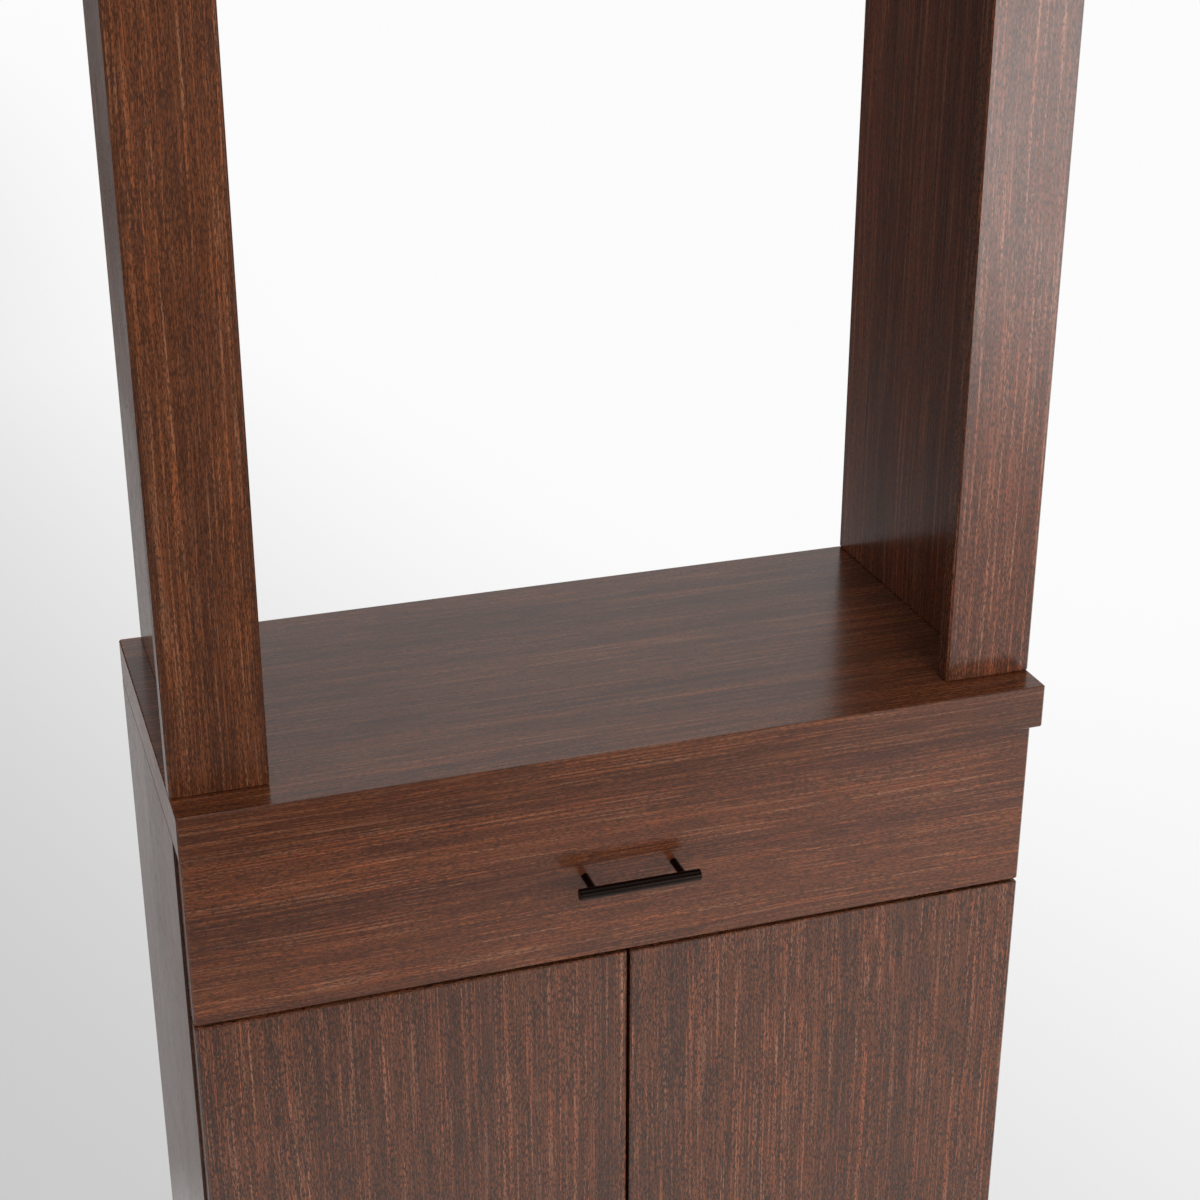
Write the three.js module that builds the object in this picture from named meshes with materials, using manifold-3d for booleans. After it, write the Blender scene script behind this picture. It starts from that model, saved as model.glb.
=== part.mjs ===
// A tall wine cabinet: a base with one drawer and two doors, a counter, and an open bay between two uprights.
// Millimetres. X runs along the front, Y runs from the front to the back, Z is up. The floor is at zero.
// The pieces are drawn from the middle of the counter's front edge, and the whole group is then moved so
// that its origin lies on the floor at the centre of the cabinet's outline.
import * as THREE from "three";
import { mergeVertices } from "three/addons/utils/BufferGeometryUtils.js";
import Module from "manifold-3d";

const wasm = await Module();
wasm.setup();

// Overall sizes
const COUNTER_WIDTH = 721;
const COUNTER_DEPTH = 336;
const COUNTER_THICKNESS = 38.1;
const COUNTER_HEIGHT = 914.4;
const OVERALL_HEIGHT = 1828.8;
const TOP_THICKNESS = 38.1;

// Boards and the fits between them
const BOARD = 19;
const SEAT = 0.3;
const OVERRUN = 2;
const ARRIS = 1;

// Uprights: a stile in front of a side panel
const STILE_WIDTH = 76.2;
const STILE_SETBACK = 31;
const UPRIGHT_INSET = 19;
const HEADER_HEIGHT = 76.2;

// Drawer front and doors
const FRONT_SETBACK = 15;
const FRONT_STANDOFF = 3;
const FRONT_REVEAL = 2.2;
const FRONT_GAP = 3;
const DRAWER_FRONT_HEIGHT = 152;

// Base carcass
const TOE_HEIGHT = 102;
const TOE_DEPTH = 57;
const BACK_THICKNESS = 6;
const BACK_INSET = 10;
const BACK_GROOVE = 8;
const RAIL_DEPTH = 90;

// Shelf, its pins and their rows of holes
const SHELF_SETBACK = 20;
const SHELF_END_PLAY = 1.2;
const PIN_RADIUS = 2.5;
const PIN_COLLAR_RADIUS = 4.5;
const PIN_COLLAR = 1;
const PIN_REACH = 9;
const HOLE_DEPTH = 10;
const HOLE_PITCH = 32;
const HOLES_PER_ROW = 7;
const HOLE_OF_SHELF = 3;
const HOLE_ROW_INSET = 37;

// Drawer box
const BOX_BOARD = 12;
const BOX_HEIGHT = 102;
const BOX_BACK_SPACE = 31.7;
const BOX_LIFT = 8;
const BOX_BOTTOM = 6;
const BOX_GROOVE = 6;
const BOX_BOTTOM_LIFT = 10;
const TAILS = 3;
const TAIL_SHARE = 0.62;
const TAIL_FLARE = 2;

// Drawer slides
const SLIDE_BACK_SPACE = 32;
const SLIDE_SPACE = 12.7;
const SLIDE_HEIGHT = 45;
const SLIDE_SHEET = 1.2;
const SLIDE_RACE = 0.6;
const SLIDE_LIP = 2.4;
const SLIDE_BEND = 1.1;
const SLIDE_SETBACK = 1;

// Pull
const PULL_SPACING = 76.2;
const PULL_LENGTH = 103;
const PULL_STANDOFF = 26;
const BAR_RADIUS = 4.75;
const BAR_CHAMFER = 0.6;
const POST_RADIUS = 3.2;
const PULL_SCREW_RADIUS = 1.7;
const PULL_SCREW_DEPTH = 9;
const SPIGOT_DEPTH = 3;
const SCREW_HEAD_RADIUS = 4;
const SCREW_HEAD = 2.2;

// Concealed hinges
const CUP_RADIUS = 17.5;
const CUP_DEPTH = 13;
const CUP_TO_EDGE = 3;
const CUP_SHEET = 0.8;
const CUP_RIM = 1.2;
const CUP_FLANGE = 1;
const CUP_ROUND = 1.2;
const WING_SPAN = 52;
const WING_WIDTH = 14;
const HINGE_TO_DOOR_END = 90;
const HINGE_PIN_IN = 7.4;
const HINGE_PIN_BACK = 10;
const HINGE_PIN_RADIUS = 1.2;
const EYE_WALL = 0.7;
const NECK_REACH = 13.5;
const NECK_DROP = 1.5;
const NECK_BEND = 1.5;
const NECK_SHEET = 1.8;
const NECK_WIDTH = 8;
const ARM_NOSE = 3.5;
const ARM_SLOPE = 15;
const ARM_WIDTH = 17;
const ARM_HEIGHT = 17;
const ARM_LENGTH = 60;
const ARM_SHEET = 1.2;
const PLATE_THICKNESS = 2.5;
const PLATE_START = 20;
const PLATE_LENGTH = 44;
const PLATE_WIDTH = 20;
const PLATE_WING_SPAN = 50;
const PLATE_WING_WIDTH = 16;
const PLATE_WING_START = 29;

// Push latches
const LATCH_FROM_MIDDLE = 40;
const LATCH_WIDTH = 16;
const LATCH_HEIGHT = 14;
const LATCH_LENGTH = 60;
const LATCH_EAR_SPAN = 36;
const LATCH_EAR_LENGTH = 16;
const LATCH_EAR = 2;
const PLUNGER_RADIUS = 4;
const PLUNGER_LENGTH = 36;
const PLUNGER_TRAVEL = 2;
const PLUNGER_TIP = 1;
const STRIKE_RADIUS = 7.5;
const STRIKE_THICKNESS = 1;

// Facets of round pieces
const FINE_STEPS = 32;
const ROUND_STEPS = 24;
const SMALL_STEPS = 12;

// Finishes
const veneer = new THREE.MeshStandardMaterial({ color: 0x6b4334, roughness: 0.3, metalness: 0 });
const boxWood = new THREE.MeshStandardMaterial({ color: 0xc9a878, roughness: 0.55, metalness: 0 });
const bronze = new THREE.MeshStandardMaterial({ color: 0x2a211e, roughness: 0.38, metalness: 0.85 });
const steel = new THREE.MeshStandardMaterial({ color: 0xb8babc, roughness: 0.32, metalness: 1 });
const plastic = new THREE.MeshStandardMaterial({ color: 0x55534f, roughness: 0.55, metalness: 0 });

// Places that more than one piece uses
const halfWidth = COUNTER_WIDTH / 2;
const frontFace = FRONT_SETBACK;
const frontBack = frontFace + BOARD;
const carcassFront = frontBack + FRONT_STANDOFF;
const carcassBack = COUNTER_DEPTH;
const carcassTop = COUNTER_HEIGHT - COUNTER_THICKNESS - SEAT;
const sideInner = halfWidth - BOARD;
const drawerFrontTop = COUNTER_HEIGHT - COUNTER_THICKNESS - FRONT_GAP;
const drawerFrontBottom = drawerFrontTop - DRAWER_FRONT_HEIGHT;
const doorTop = drawerFrontBottom - FRONT_GAP;
const doorBottom = TOE_HEIGHT;
const doorOuter = halfWidth - FRONT_REVEAL;
const doorInner = FRONT_GAP / 2;
const dividerTop = doorTop + FRONT_GAP / 2 + BOARD / 2;
const dividerBottom = dividerTop - BOARD;
const bottomTop = TOE_HEIGHT + BOARD;
const backFront = carcassBack - BACK_INSET - BACK_THICKNESS;

// Solids and geometries

function toSolid(geometry) {
  const bare = geometry.clone();
  bare.deleteAttribute("normal");
  bare.deleteAttribute("uv");
  const merged = mergeVertices(bare);
  return new wasm.Manifold(
    new wasm.Mesh({
      numProp: 3,
      vertProperties: merged.getAttribute("position").array,
      triVerts: new Uint32Array(merged.index.array),
    }),
  );
}

function toGeometry(solid) {
  const mesh = solid.getMesh();
  const geometry = new THREE.BufferGeometry();
  geometry.setAttribute("position", new THREE.BufferAttribute(mesh.vertProperties, 3));
  geometry.setIndex(new THREE.BufferAttribute(mesh.triVerts, 1));
  geometry.computeVertexNormals();
  return geometry;
}

function cut(geometry, ...tools) {
  let solid = toSolid(geometry);
  for (const tool of tools) {
    solid = solid.subtract(toSolid(tool));
  }
  return toGeometry(solid);
}

function join(geometry, ...others) {
  let solid = toSolid(geometry);
  for (const other of others) {
    solid = solid.add(toSolid(other));
  }
  return toGeometry(solid);
}

// The same piece for the other hand: mirrored in X, with its faces turned back outwards.
function mirrored(geometry) {
  const flipped = toGeometry(toSolid(geometry));
  flipped.scale(-1, 1, 1);
  const index = flipped.index.array;
  for (let i = 0; i < index.length; i += 3) {
    const kept = index[i];
    index[i] = index[i + 1];
    index[i + 1] = kept;
  }
  flipped.computeVertexNormals();
  return flipped;
}

// Shapes

// A plain block between two corners.
function block([x0, x1], [y0, y1], [z0, z1]) {
  const geometry = new THREE.BoxGeometry(x1 - x0, y1 - y0, z1 - z0);
  geometry.translate((x0 + x1) / 2, (y0 + y1) / 2, (z0 + z1) / 2);
  return geometry;
}

// A board between two corners, with a small flat on each of its twelve edges.
function easedBoard([x0, x1], [y0, y1], [z0, z1]) {
  const outline = new THREE.Shape();
  const left = x0 + ARRIS;
  const right = x1 - ARRIS;
  const front = y0 + ARRIS;
  const back = y1 - ARRIS;
  outline.moveTo(left + ARRIS, front);
  outline.lineTo(right - ARRIS, front);
  outline.lineTo(right, front + ARRIS);
  outline.lineTo(right, back - ARRIS);
  outline.lineTo(right - ARRIS, back);
  outline.lineTo(left + ARRIS, back);
  outline.lineTo(left, back - ARRIS);
  outline.lineTo(left, front + ARRIS);
  const geometry = new THREE.ExtrudeGeometry(outline, {
    depth: z1 - z0 - 2 * ARRIS,
    bevelEnabled: true,
    bevelThickness: ARRIS,
    bevelSize: ARRIS,
    bevelSegments: 1,
  });
  geometry.translate(0, 0, z0 + ARRIS);
  return geometry;
}

// A straight prism. Its outline is drawn in Y and Z for axis x, in X and Z for y, and in X and Y for z.
function prism(outline, axis, from, to) {
  const geometry = new THREE.ExtrudeGeometry(outline, { depth: to - from, bevelEnabled: false });
  if (axis === "x") {
    geometry.rotateX(Math.PI / 2);
    geometry.rotateZ(Math.PI / 2);
    geometry.translate(from, 0, 0);
  } else if (axis === "y") {
    geometry.rotateX(Math.PI / 2);
    geometry.translate(0, to, 0);
  } else {
    geometry.translate(0, 0, from);
  }
  return geometry;
}

// A round bar along an axis. Its centre is given in the other two directions, in the order X, Y, Z.
function rod(axis, radius, [from, to], [a, b], steps = SMALL_STEPS) {
  const geometry = new THREE.CylinderGeometry(radius, radius, to - from, steps);
  const middle = (from + to) / 2;
  if (axis === "x") {
    geometry.rotateZ(-Math.PI / 2);
    geometry.translate(middle, a, b);
  } else if (axis === "y") {
    geometry.translate(a, middle, b);
  } else {
    geometry.rotateX(Math.PI / 2);
    geometry.translate(a, b, middle);
  }
  return geometry;
}

// A turned piece about an axis along Y, from pairs of radius and place along Y.
function turned(profile, [x, z], steps) {
  const points = profile.map(([radius, y]) => new THREE.Vector2(radius, y));
  const geometry = new THREE.LatheGeometry(points, steps);
  geometry.translate(x, 0, z);
  return geometry;
}

// The outline of folded sheet: a centre line made as thick as the sheet, with mitred corners.
function foldedSheet(centreLine, sheet) {
  const points = centreLine.map(([x, y]) => new THREE.Vector2(x, y));
  const offsets = points.map((point, i) => {
    const before = i > 0 ? point.clone().sub(points[i - 1]).normalize() : null;
    const after = i < points.length - 1 ? points[i + 1].clone().sub(point).normalize() : null;
    const first = before ?? after;
    const second = after ?? before;
    const normal = new THREE.Vector2(-first.y - second.y, first.x + second.x).normalize();
    const mitre = sheet / 2 / (normal.x * -first.y + normal.y * first.x);
    return normal.multiplyScalar(mitre);
  });
  const oneSide = points.map((point, i) => point.clone().add(offsets[i]));
  const otherSide = points.map((point, i) => point.clone().sub(offsets[i]));
  return new THREE.Shape([...oneSide, ...otherSide.reverse()]);
}

// The assembly

const cabinet = new THREE.Group();
cabinet.name = "wine_cabinet";

function addPiece(name, geometry, material) {
  const mesh = new THREE.Mesh(geometry, material);
  mesh.name = name;
  cabinet.add(mesh);
}

// Adds a left-hand piece and its mirror image.
function addPair(name, geometry, material) {
  addPiece(name + "_left", geometry, material);
  addPiece(name + "_right", mirrored(geometry), material);
}

// Carcass of the base

const holeRows = [carcassFront + HOLE_ROW_INSET, backFront - HOLE_ROW_INSET];
const holeHeight = (n) => (bottomTop + dividerBottom) / 2 + (n - HOLE_OF_SHELF) * HOLE_PITCH;
const backWidth = sideInner + BACK_GROOVE;
const backBottom = bottomTop - BACK_GROOVE;

// The back panel, or with some play the groove that it sits in.
function backBoard(play) {
  return block(
    [-backWidth - play, backWidth + play],
    [backFront - play, backFront + BACK_THICKNESS + play],
    [backBottom - play, carcassTop + play],
  );
}

function carcassSide() {
  const outline = new THREE.Shape();
  const toeBack = carcassFront + TOE_DEPTH;
  outline.moveTo(toeBack, 0);
  outline.lineTo(carcassBack, 0);
  outline.lineTo(carcassBack, carcassTop);
  outline.lineTo(carcassFront, carcassTop);
  outline.lineTo(carcassFront, TOE_HEIGHT);
  outline.lineTo(toeBack, TOE_HEIGHT);
  const side = prism(outline, "x", -halfWidth, -sideInner);
  const holes = [];
  for (const y of holeRows) {
    for (let n = 0; n < HOLES_PER_ROW; n += 1) {
      const span = [-sideInner - HOLE_DEPTH, -sideInner + OVERRUN];
      holes.push(rod("x", PIN_RADIUS + SEAT, span, [y, holeHeight(n)]));
    }
  }
  return cut(side, backBoard(SEAT), ...holes);
}

function bottomPanel() {
  const between = sideInner - SEAT;
  const panel = block([-between, between], [carcassFront, carcassBack], [TOE_HEIGHT, bottomTop]);
  return cut(panel, backBoard(SEAT));
}

function crossRail([y0, y1], [z0, z1]) {
  const between = sideInner - SEAT;
  return block([-between, between], [y0, y1], [z0, z1]);
}

addPair("side", carcassSide(), veneer);
addPiece("bottom_panel", bottomPanel(), veneer);
addPiece("back_panel", backBoard(0), veneer);

const railBottom = carcassTop - BOARD;
const rearRailBack = backFront - SEAT;
addPiece(
  "top_rail_front",
  crossRail([carcassFront, carcassFront + RAIL_DEPTH], [railBottom, carcassTop]),
  veneer,
);
addPiece(
  "top_rail_rear",
  crossRail([rearRailBack - RAIL_DEPTH, rearRailBack], [railBottom, carcassTop]),
  veneer,
);
addPiece(
  "divider_rail",
  crossRail([carcassFront, carcassFront + RAIL_DEPTH], [dividerBottom, dividerTop]),
  veneer,
);
const kickFront = carcassFront + TOE_DEPTH;
addPiece("toe_kick", crossRail([kickFront, kickFront + BOARD], [0, TOE_HEIGHT - SEAT]), veneer);

// Shelf on four pins

const pinHeight = holeHeight(HOLE_OF_SHELF);
const shelfBottom = pinHeight + PIN_RADIUS + SEAT;

function shelf() {
  const reach = sideInner - SHELF_END_PLAY;
  const back = backFront - SEAT;
  return easedBoard(
    [-reach, reach],
    [carcassFront + SHELF_SETBACK, back],
    [shelfBottom, shelfBottom + BOARD],
  );
}

// A pin: a peg that goes into the side, a collar against the side, and the same peg under the shelf.
function shelfPin(y) {
  const inHole = -sideInner - HOLE_DEPTH + SEAT;
  const collarStart = -sideInner + SEAT;
  const peg = rod("x", PIN_RADIUS, [inHole, collarStart + PIN_REACH], [y, pinHeight]);
  const collarSpan = [collarStart, collarStart + PIN_COLLAR];
  const collar = rod("x", PIN_COLLAR_RADIUS, collarSpan, [y, pinHeight]);
  const aboveShelf = block(
    [-sideInner, -sideInner + PIN_REACH],
    [y - PIN_COLLAR_RADIUS, y + PIN_COLLAR_RADIUS],
    [pinHeight + PIN_RADIUS, pinHeight + PIN_COLLAR_RADIUS + OVERRUN],
  );
  return cut(join(peg, collar), aboveShelf);
}

addPiece("shelf", shelf(), veneer);
addPair("shelf_pin_front", shelfPin(holeRows[0]), steel);
addPair("shelf_pin_rear", shelfPin(holeRows[1]), steel);

// Counter, uprights and top

const uprightFoot = COUNTER_HEIGHT + SEAT;
const uprightHead = OVERALL_HEIGHT - TOP_THICKNESS - SEAT;
const stileBack = STILE_SETBACK + BOARD;
const panelOuter = halfWidth - UPRIGHT_INSET;
const panelInner = panelOuter - BOARD;
const headerBottom = uprightHead - HEADER_HEIGHT;

addPiece(
  "countertop",
  easedBoard(
    [-halfWidth, halfWidth],
    [0, COUNTER_DEPTH],
    [COUNTER_HEIGHT - COUNTER_THICKNESS, COUNTER_HEIGHT],
  ),
  veneer,
);
addPair(
  "stile",
  easedBoard(
    [-halfWidth, -halfWidth + STILE_WIDTH],
    [STILE_SETBACK, stileBack],
    [uprightFoot, uprightHead],
  ),
  veneer,
);
addPair(
  "upright_panel",
  easedBoard(
    [-panelOuter, -panelInner],
    [stileBack + SEAT, COUNTER_DEPTH],
    [uprightFoot, uprightHead],
  ),
  veneer,
);
const headerReach = halfWidth - STILE_WIDTH - SEAT;
addPiece(
  "header_rail_front",
  easedBoard([-headerReach, headerReach], [STILE_SETBACK, stileBack], [headerBottom, uprightHead]),
  veneer,
);
const rearHeaderReach = panelInner - SEAT;
addPiece(
  "header_rail_rear",
  easedBoard(
    [-rearHeaderReach, rearHeaderReach],
    [COUNTER_DEPTH - BOARD, COUNTER_DEPTH],
    [headerBottom, uprightHead],
  ),
  veneer,
);
addPiece(
  "top_panel",
  easedBoard(
    [-halfWidth, halfWidth],
    [0, COUNTER_DEPTH],
    [OVERALL_HEIGHT - TOP_THICKNESS, OVERALL_HEIGHT],
  ),
  veneer,
);

// Drawer box: dovetailed sides, with the bottom in a groove all round

const boxFront = frontBack + SEAT;
const boxBack = backFront - BOX_BACK_SPACE;
const boxBottom = dividerTop + BOX_LIFT;
const boxTop = boxBottom + BOX_HEIGHT;
const boxOuter = sideInner - SLIDE_SPACE;
const boxInner = boxOuter - BOX_BOARD;
const tailPitch = BOX_HEIGHT / TAILS;

// The tails of one end of a side, as prisms through the side. They flare towards the end of the side.
// Added play makes the sockets in the board that they go through.
function tails(wideY, narrowY, play) {
  const towardsEnd = Math.sign(wideY - narrowY);
  const tools = [];
  for (let n = 0; n < TAILS; n += 1) {
    const middle = boxBottom + (n + 1 / 2) * tailPitch;
    const wide = (tailPitch * TAIL_SHARE) / 2 + TAIL_FLARE + play;
    const narrow = (tailPitch * TAIL_SHARE) / 2 + play;
    const slope = (wide - narrow) / BOX_BOARD;
    const end = wideY + towardsEnd * OVERRUN;
    const start = narrowY - towardsEnd * play;
    const outline = new THREE.Shape();
    outline.moveTo(start, middle - narrow + slope * play);
    outline.lineTo(end, middle - wide - slope * OVERRUN);
    outline.lineTo(end, middle + wide + slope * OVERRUN);
    outline.lineTo(start, middle + narrow - slope * play);
    tools.push(prism(outline, "x", -boxOuter - OVERRUN, -boxInner + OVERRUN));
  }
  return tools;
}

// What is left of a corner of the box once the tails are taken out: the room that the pins need.
function aroundTails(wideY, narrowY) {
  const end = wideY + Math.sign(wideY - narrowY) * OVERRUN;
  const corner = block(
    [-boxOuter - OVERRUN, -boxInner + OVERRUN],
    [Math.min(end, narrowY), Math.max(end, narrowY)],
    [boxBottom - OVERRUN, boxTop + OVERRUN],
  );
  return cut(corner, ...tails(wideY, narrowY, 0));
}

function drawerBottom(play) {
  const reach = boxInner + BOX_GROOVE;
  const low = boxBottom + BOX_BOTTOM_LIFT;
  return block(
    [-reach - play, reach + play],
    [boxFront + BOX_BOARD - BOX_GROOVE - play, boxBack - BOX_BOARD + BOX_GROOVE + play],
    [low - play, low + BOX_BOTTOM + play],
  );
}

function boxSide() {
  const board = block([-boxOuter, -boxInner], [boxFront, boxBack], [boxBottom, boxTop]);
  return cut(
    board,
    aroundTails(boxFront, boxFront + BOX_BOARD),
    aroundTails(boxBack, boxBack - BOX_BOARD),
    drawerBottom(SEAT),
  );
}

// The front or back board of the box, with a socket for each tail at both ends.
function boxEnd(outerY, innerY) {
  const board = block(
    [-boxOuter, boxOuter],
    [Math.min(outerY, innerY), Math.max(outerY, innerY)],
    [boxBottom, boxTop],
  );
  const sockets = tails(outerY, innerY, SEAT);
  return cut(board, ...sockets, ...sockets.map(mirrored), drawerBottom(SEAT));
}

const pullHeight = (drawerFrontTop + drawerFrontBottom) / 2;
const postPlaces = [-PULL_SPACING / 2, PULL_SPACING / 2];

// The holes for the two screws of the pull, through the drawer front and the front of the box.
function pullHoles() {
  const span = [frontFace - OVERRUN, boxFront + BOX_BOARD + OVERRUN];
  return postPlaces.map((x) => rod("y", PULL_SCREW_RADIUS + SEAT, span, [x, pullHeight]));
}

addPiece(
  "drawer_front",
  cut(
    easedBoard([-doorOuter, doorOuter], [frontFace, frontBack], [drawerFrontBottom, drawerFrontTop]),
    ...pullHoles(),
  ),
  veneer,
);
addPiece("drawer_box_front", cut(boxEnd(boxFront, boxFront + BOX_BOARD), ...pullHoles()), boxWood);
addPiece("drawer_box_back", boxEnd(boxBack, boxBack - BOX_BOARD), boxWood);
addPair("drawer_box_side", boxSide(), boxWood);
addPiece("drawer_bottom", drawerBottom(0), boxWood);

// Pull: a round bar on two posts, each held by a screw from inside the drawer

const barPlace = frontFace - PULL_STANDOFF;

function pullBar() {
  const half = PULL_LENGTH / 2;
  const profile = [
    [0, -half],
    [BAR_RADIUS - BAR_CHAMFER, -half],
    [BAR_RADIUS, -half + BAR_CHAMFER],
    [BAR_RADIUS, half - BAR_CHAMFER],
    [BAR_RADIUS - BAR_CHAMFER, half],
    [0, half],
  ];
  const bar = turned(profile, [0, 0], FINE_STEPS);
  bar.rotateZ(-Math.PI / 2);
  bar.translate(0, barPlace, pullHeight);
  const bottomOfHole = barPlace + BAR_RADIUS - SPIGOT_DEPTH - SEAT;
  const holes = postPlaces.map((x) =>
    rod("y", PULL_SCREW_RADIUS + SEAT, [bottomOfHole, frontFace], [x, pullHeight]),
  );
  return cut(bar, ...holes);
}

function pullPost(x) {
  const saddle = rod(
    "x",
    BAR_RADIUS + SEAT,
    [x - POST_RADIUS - OVERRUN, x + POST_RADIUS + OVERRUN],
    [barPlace, pullHeight],
    FINE_STEPS,
  );
  const shank = rod("y", POST_RADIUS, [barPlace, frontFace - SEAT], [x, pullHeight], ROUND_STEPS);
  const spigotStart = barPlace + BAR_RADIUS - SPIGOT_DEPTH;
  const spigot = rod("y", PULL_SCREW_RADIUS, [spigotStart, barPlace + PULL_STANDOFF / 2], [x, pullHeight]);
  const threadSpan = [frontFace - PULL_SCREW_DEPTH - SEAT, frontFace];
  const threadHole = rod("y", PULL_SCREW_RADIUS + SEAT, threadSpan, [x, pullHeight]);
  return cut(join(cut(shank, saddle), spigot), threadHole);
}

function pullScrew(x) {
  const headBack = boxFront + BOX_BOARD + SEAT;
  const tip = frontFace - PULL_SCREW_DEPTH;
  const shaft = rod("y", PULL_SCREW_RADIUS, [tip, headBack + SCREW_HEAD / 2], [x, pullHeight]);
  const dome = [
    [0, headBack],
    [SCREW_HEAD_RADIUS, headBack],
    [SCREW_HEAD_RADIUS, headBack + SCREW_HEAD / 2],
    [SCREW_HEAD_RADIUS / 2, headBack + SCREW_HEAD],
    [0, headBack + SCREW_HEAD],
  ];
  return join(shaft, turned(dome, [x, pullHeight], ROUND_STEPS));
}

addPiece("pull_bar", pullBar(), bronze);
addPair("pull_post", pullPost(postPlaces[0]), bronze);
addPair("pull_screw", pullScrew(postPlaces[0]), steel);

// Drawer slides: an outer member on the carcass, a middle one, and an inner one on the drawer

const slideFront = carcassFront + SLIDE_SETBACK;
const slideBack = backFront - SLIDE_BACK_SPACE;
const slideMiddle = (boxBottom + boxTop) / 2;

// A channel of folded sheet. Its web lies at one depth from the carcass side, its flanges reach to another,
// and each flange ends in a lip that is turned in, or out where the lip is negative.
function slideChannel(web, reach, half, lip) {
  const towards = Math.sign(reach - web);
  const bend = SLIDE_BEND * Math.sign(lip);
  const upper = [
    [web, half],
    [reach - towards * SLIDE_BEND, half],
    [reach, half - bend],
    [reach, half - lip],
  ];
  const lower = upper.map(([depth, height]) => [depth, -height]).reverse();
  const centreLine = [...lower, ...upper].map(([depth, height]) => [
    -sideInner + depth,
    slideMiddle + height,
  ]);
  return prism(foldedSheet(centreLine, SLIDE_SHEET), "y", slideFront, slideBack);
}

const outerWeb = SEAT + SLIDE_SHEET / 2;
const outerHalf = SLIDE_HEIGHT / 2 - SLIDE_SHEET / 2;
const middleWeb = outerWeb + SLIDE_SHEET + SLIDE_RACE;
const middleHalf = outerHalf - SLIDE_SHEET - SLIDE_RACE;
const innerWeb = SLIDE_SPACE - outerWeb;
const outerReach = innerWeb - SLIDE_SHEET - SLIDE_RACE;
const middleReach = outerReach - SLIDE_SHEET - SLIDE_RACE;
const innerHalf = middleHalf - SLIDE_LIP - SLIDE_SHEET / 2 - SLIDE_RACE;
const innerReach = middleWeb + SLIDE_SHEET + SLIDE_RACE;
addPair("slide_outer", slideChannel(outerWeb, outerReach, outerHalf, SLIDE_LIP), steel);
addPair("slide_middle", slideChannel(middleWeb, middleReach, middleHalf, SLIDE_LIP), steel);
addPair("slide_inner", slideChannel(innerWeb, innerReach, innerHalf, -SLIDE_LIP / 2), steel);

// Doors and their concealed hinges

const hingeHeights = { upper: doorTop - HINGE_TO_DOOR_END, lower: doorBottom + HINGE_TO_DOOR_END };
const cupX = -doorOuter + CUP_TO_EDGE + CUP_RADIUS;
const cupFloor = frontBack - CUP_DEPTH;
const hingePinX = -doorOuter + HINGE_PIN_IN;
const hingePinY = frontFace + HINGE_PIN_BACK;

function door() {
  const board = easedBoard([-doorOuter, -doorInner], [frontFace, frontBack], [doorBottom, doorTop]);
  const bores = Object.values(hingeHeights).map((z) =>
    rod("y", CUP_RADIUS, [cupFloor, frontBack + OVERRUN], [cupX, z], FINE_STEPS),
  );
  return cut(board, ...bores);
}

// The cup: a pressed dish with a rim and two wings that lie on the back of the door, and the pin that the
// door turns on.
function hingeCup(z) {
  const outer = CUP_RADIUS - SEAT;
  const inner = outer - CUP_SHEET;
  const low = cupFloor + SEAT;
  const floor = low + CUP_SHEET;
  const rimLow = frontBack + SEAT;
  const rimHigh = rimLow + CUP_FLANGE;
  const profile = [
    [0, low],
    [outer - CUP_ROUND, low],
    [outer, low + CUP_ROUND],
    [outer, rimLow],
    [outer + CUP_RIM, rimLow],
    [outer + CUP_RIM, rimHigh],
    [inner, rimHigh],
    [inner, floor + CUP_ROUND],
    [inner - CUP_ROUND, floor],
    [0, floor],
  ];
  const wing = new THREE.Shape();
  const wingReach = WING_SPAN / 2 - WING_WIDTH / 2;
  wing.absarc(cupX, z + wingReach, WING_WIDTH / 2, 0, Math.PI);
  wing.absarc(cupX, z - wingReach, WING_WIDTH / 2, Math.PI, 2 * Math.PI);
  const mouth = rod("y", inner, [floor + CUP_ROUND, rimHigh + OVERRUN], [cupX, z], FINE_STEPS);
  const wings = cut(prism(wing, "y", rimLow, rimHigh), mouth);
  const wallRadius = (outer + inner) / 2;
  const pinReach = Math.sqrt(wallRadius ** 2 - (cupX - hingePinX + HINGE_PIN_RADIUS) ** 2);
  const pin = rod("z", HINGE_PIN_RADIUS, [z - pinReach, z + pinReach], [hingePinX, hingePinY]);
  return join(turned(profile, [cupX, z], FINE_STEPS), wings, pin);
}

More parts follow.
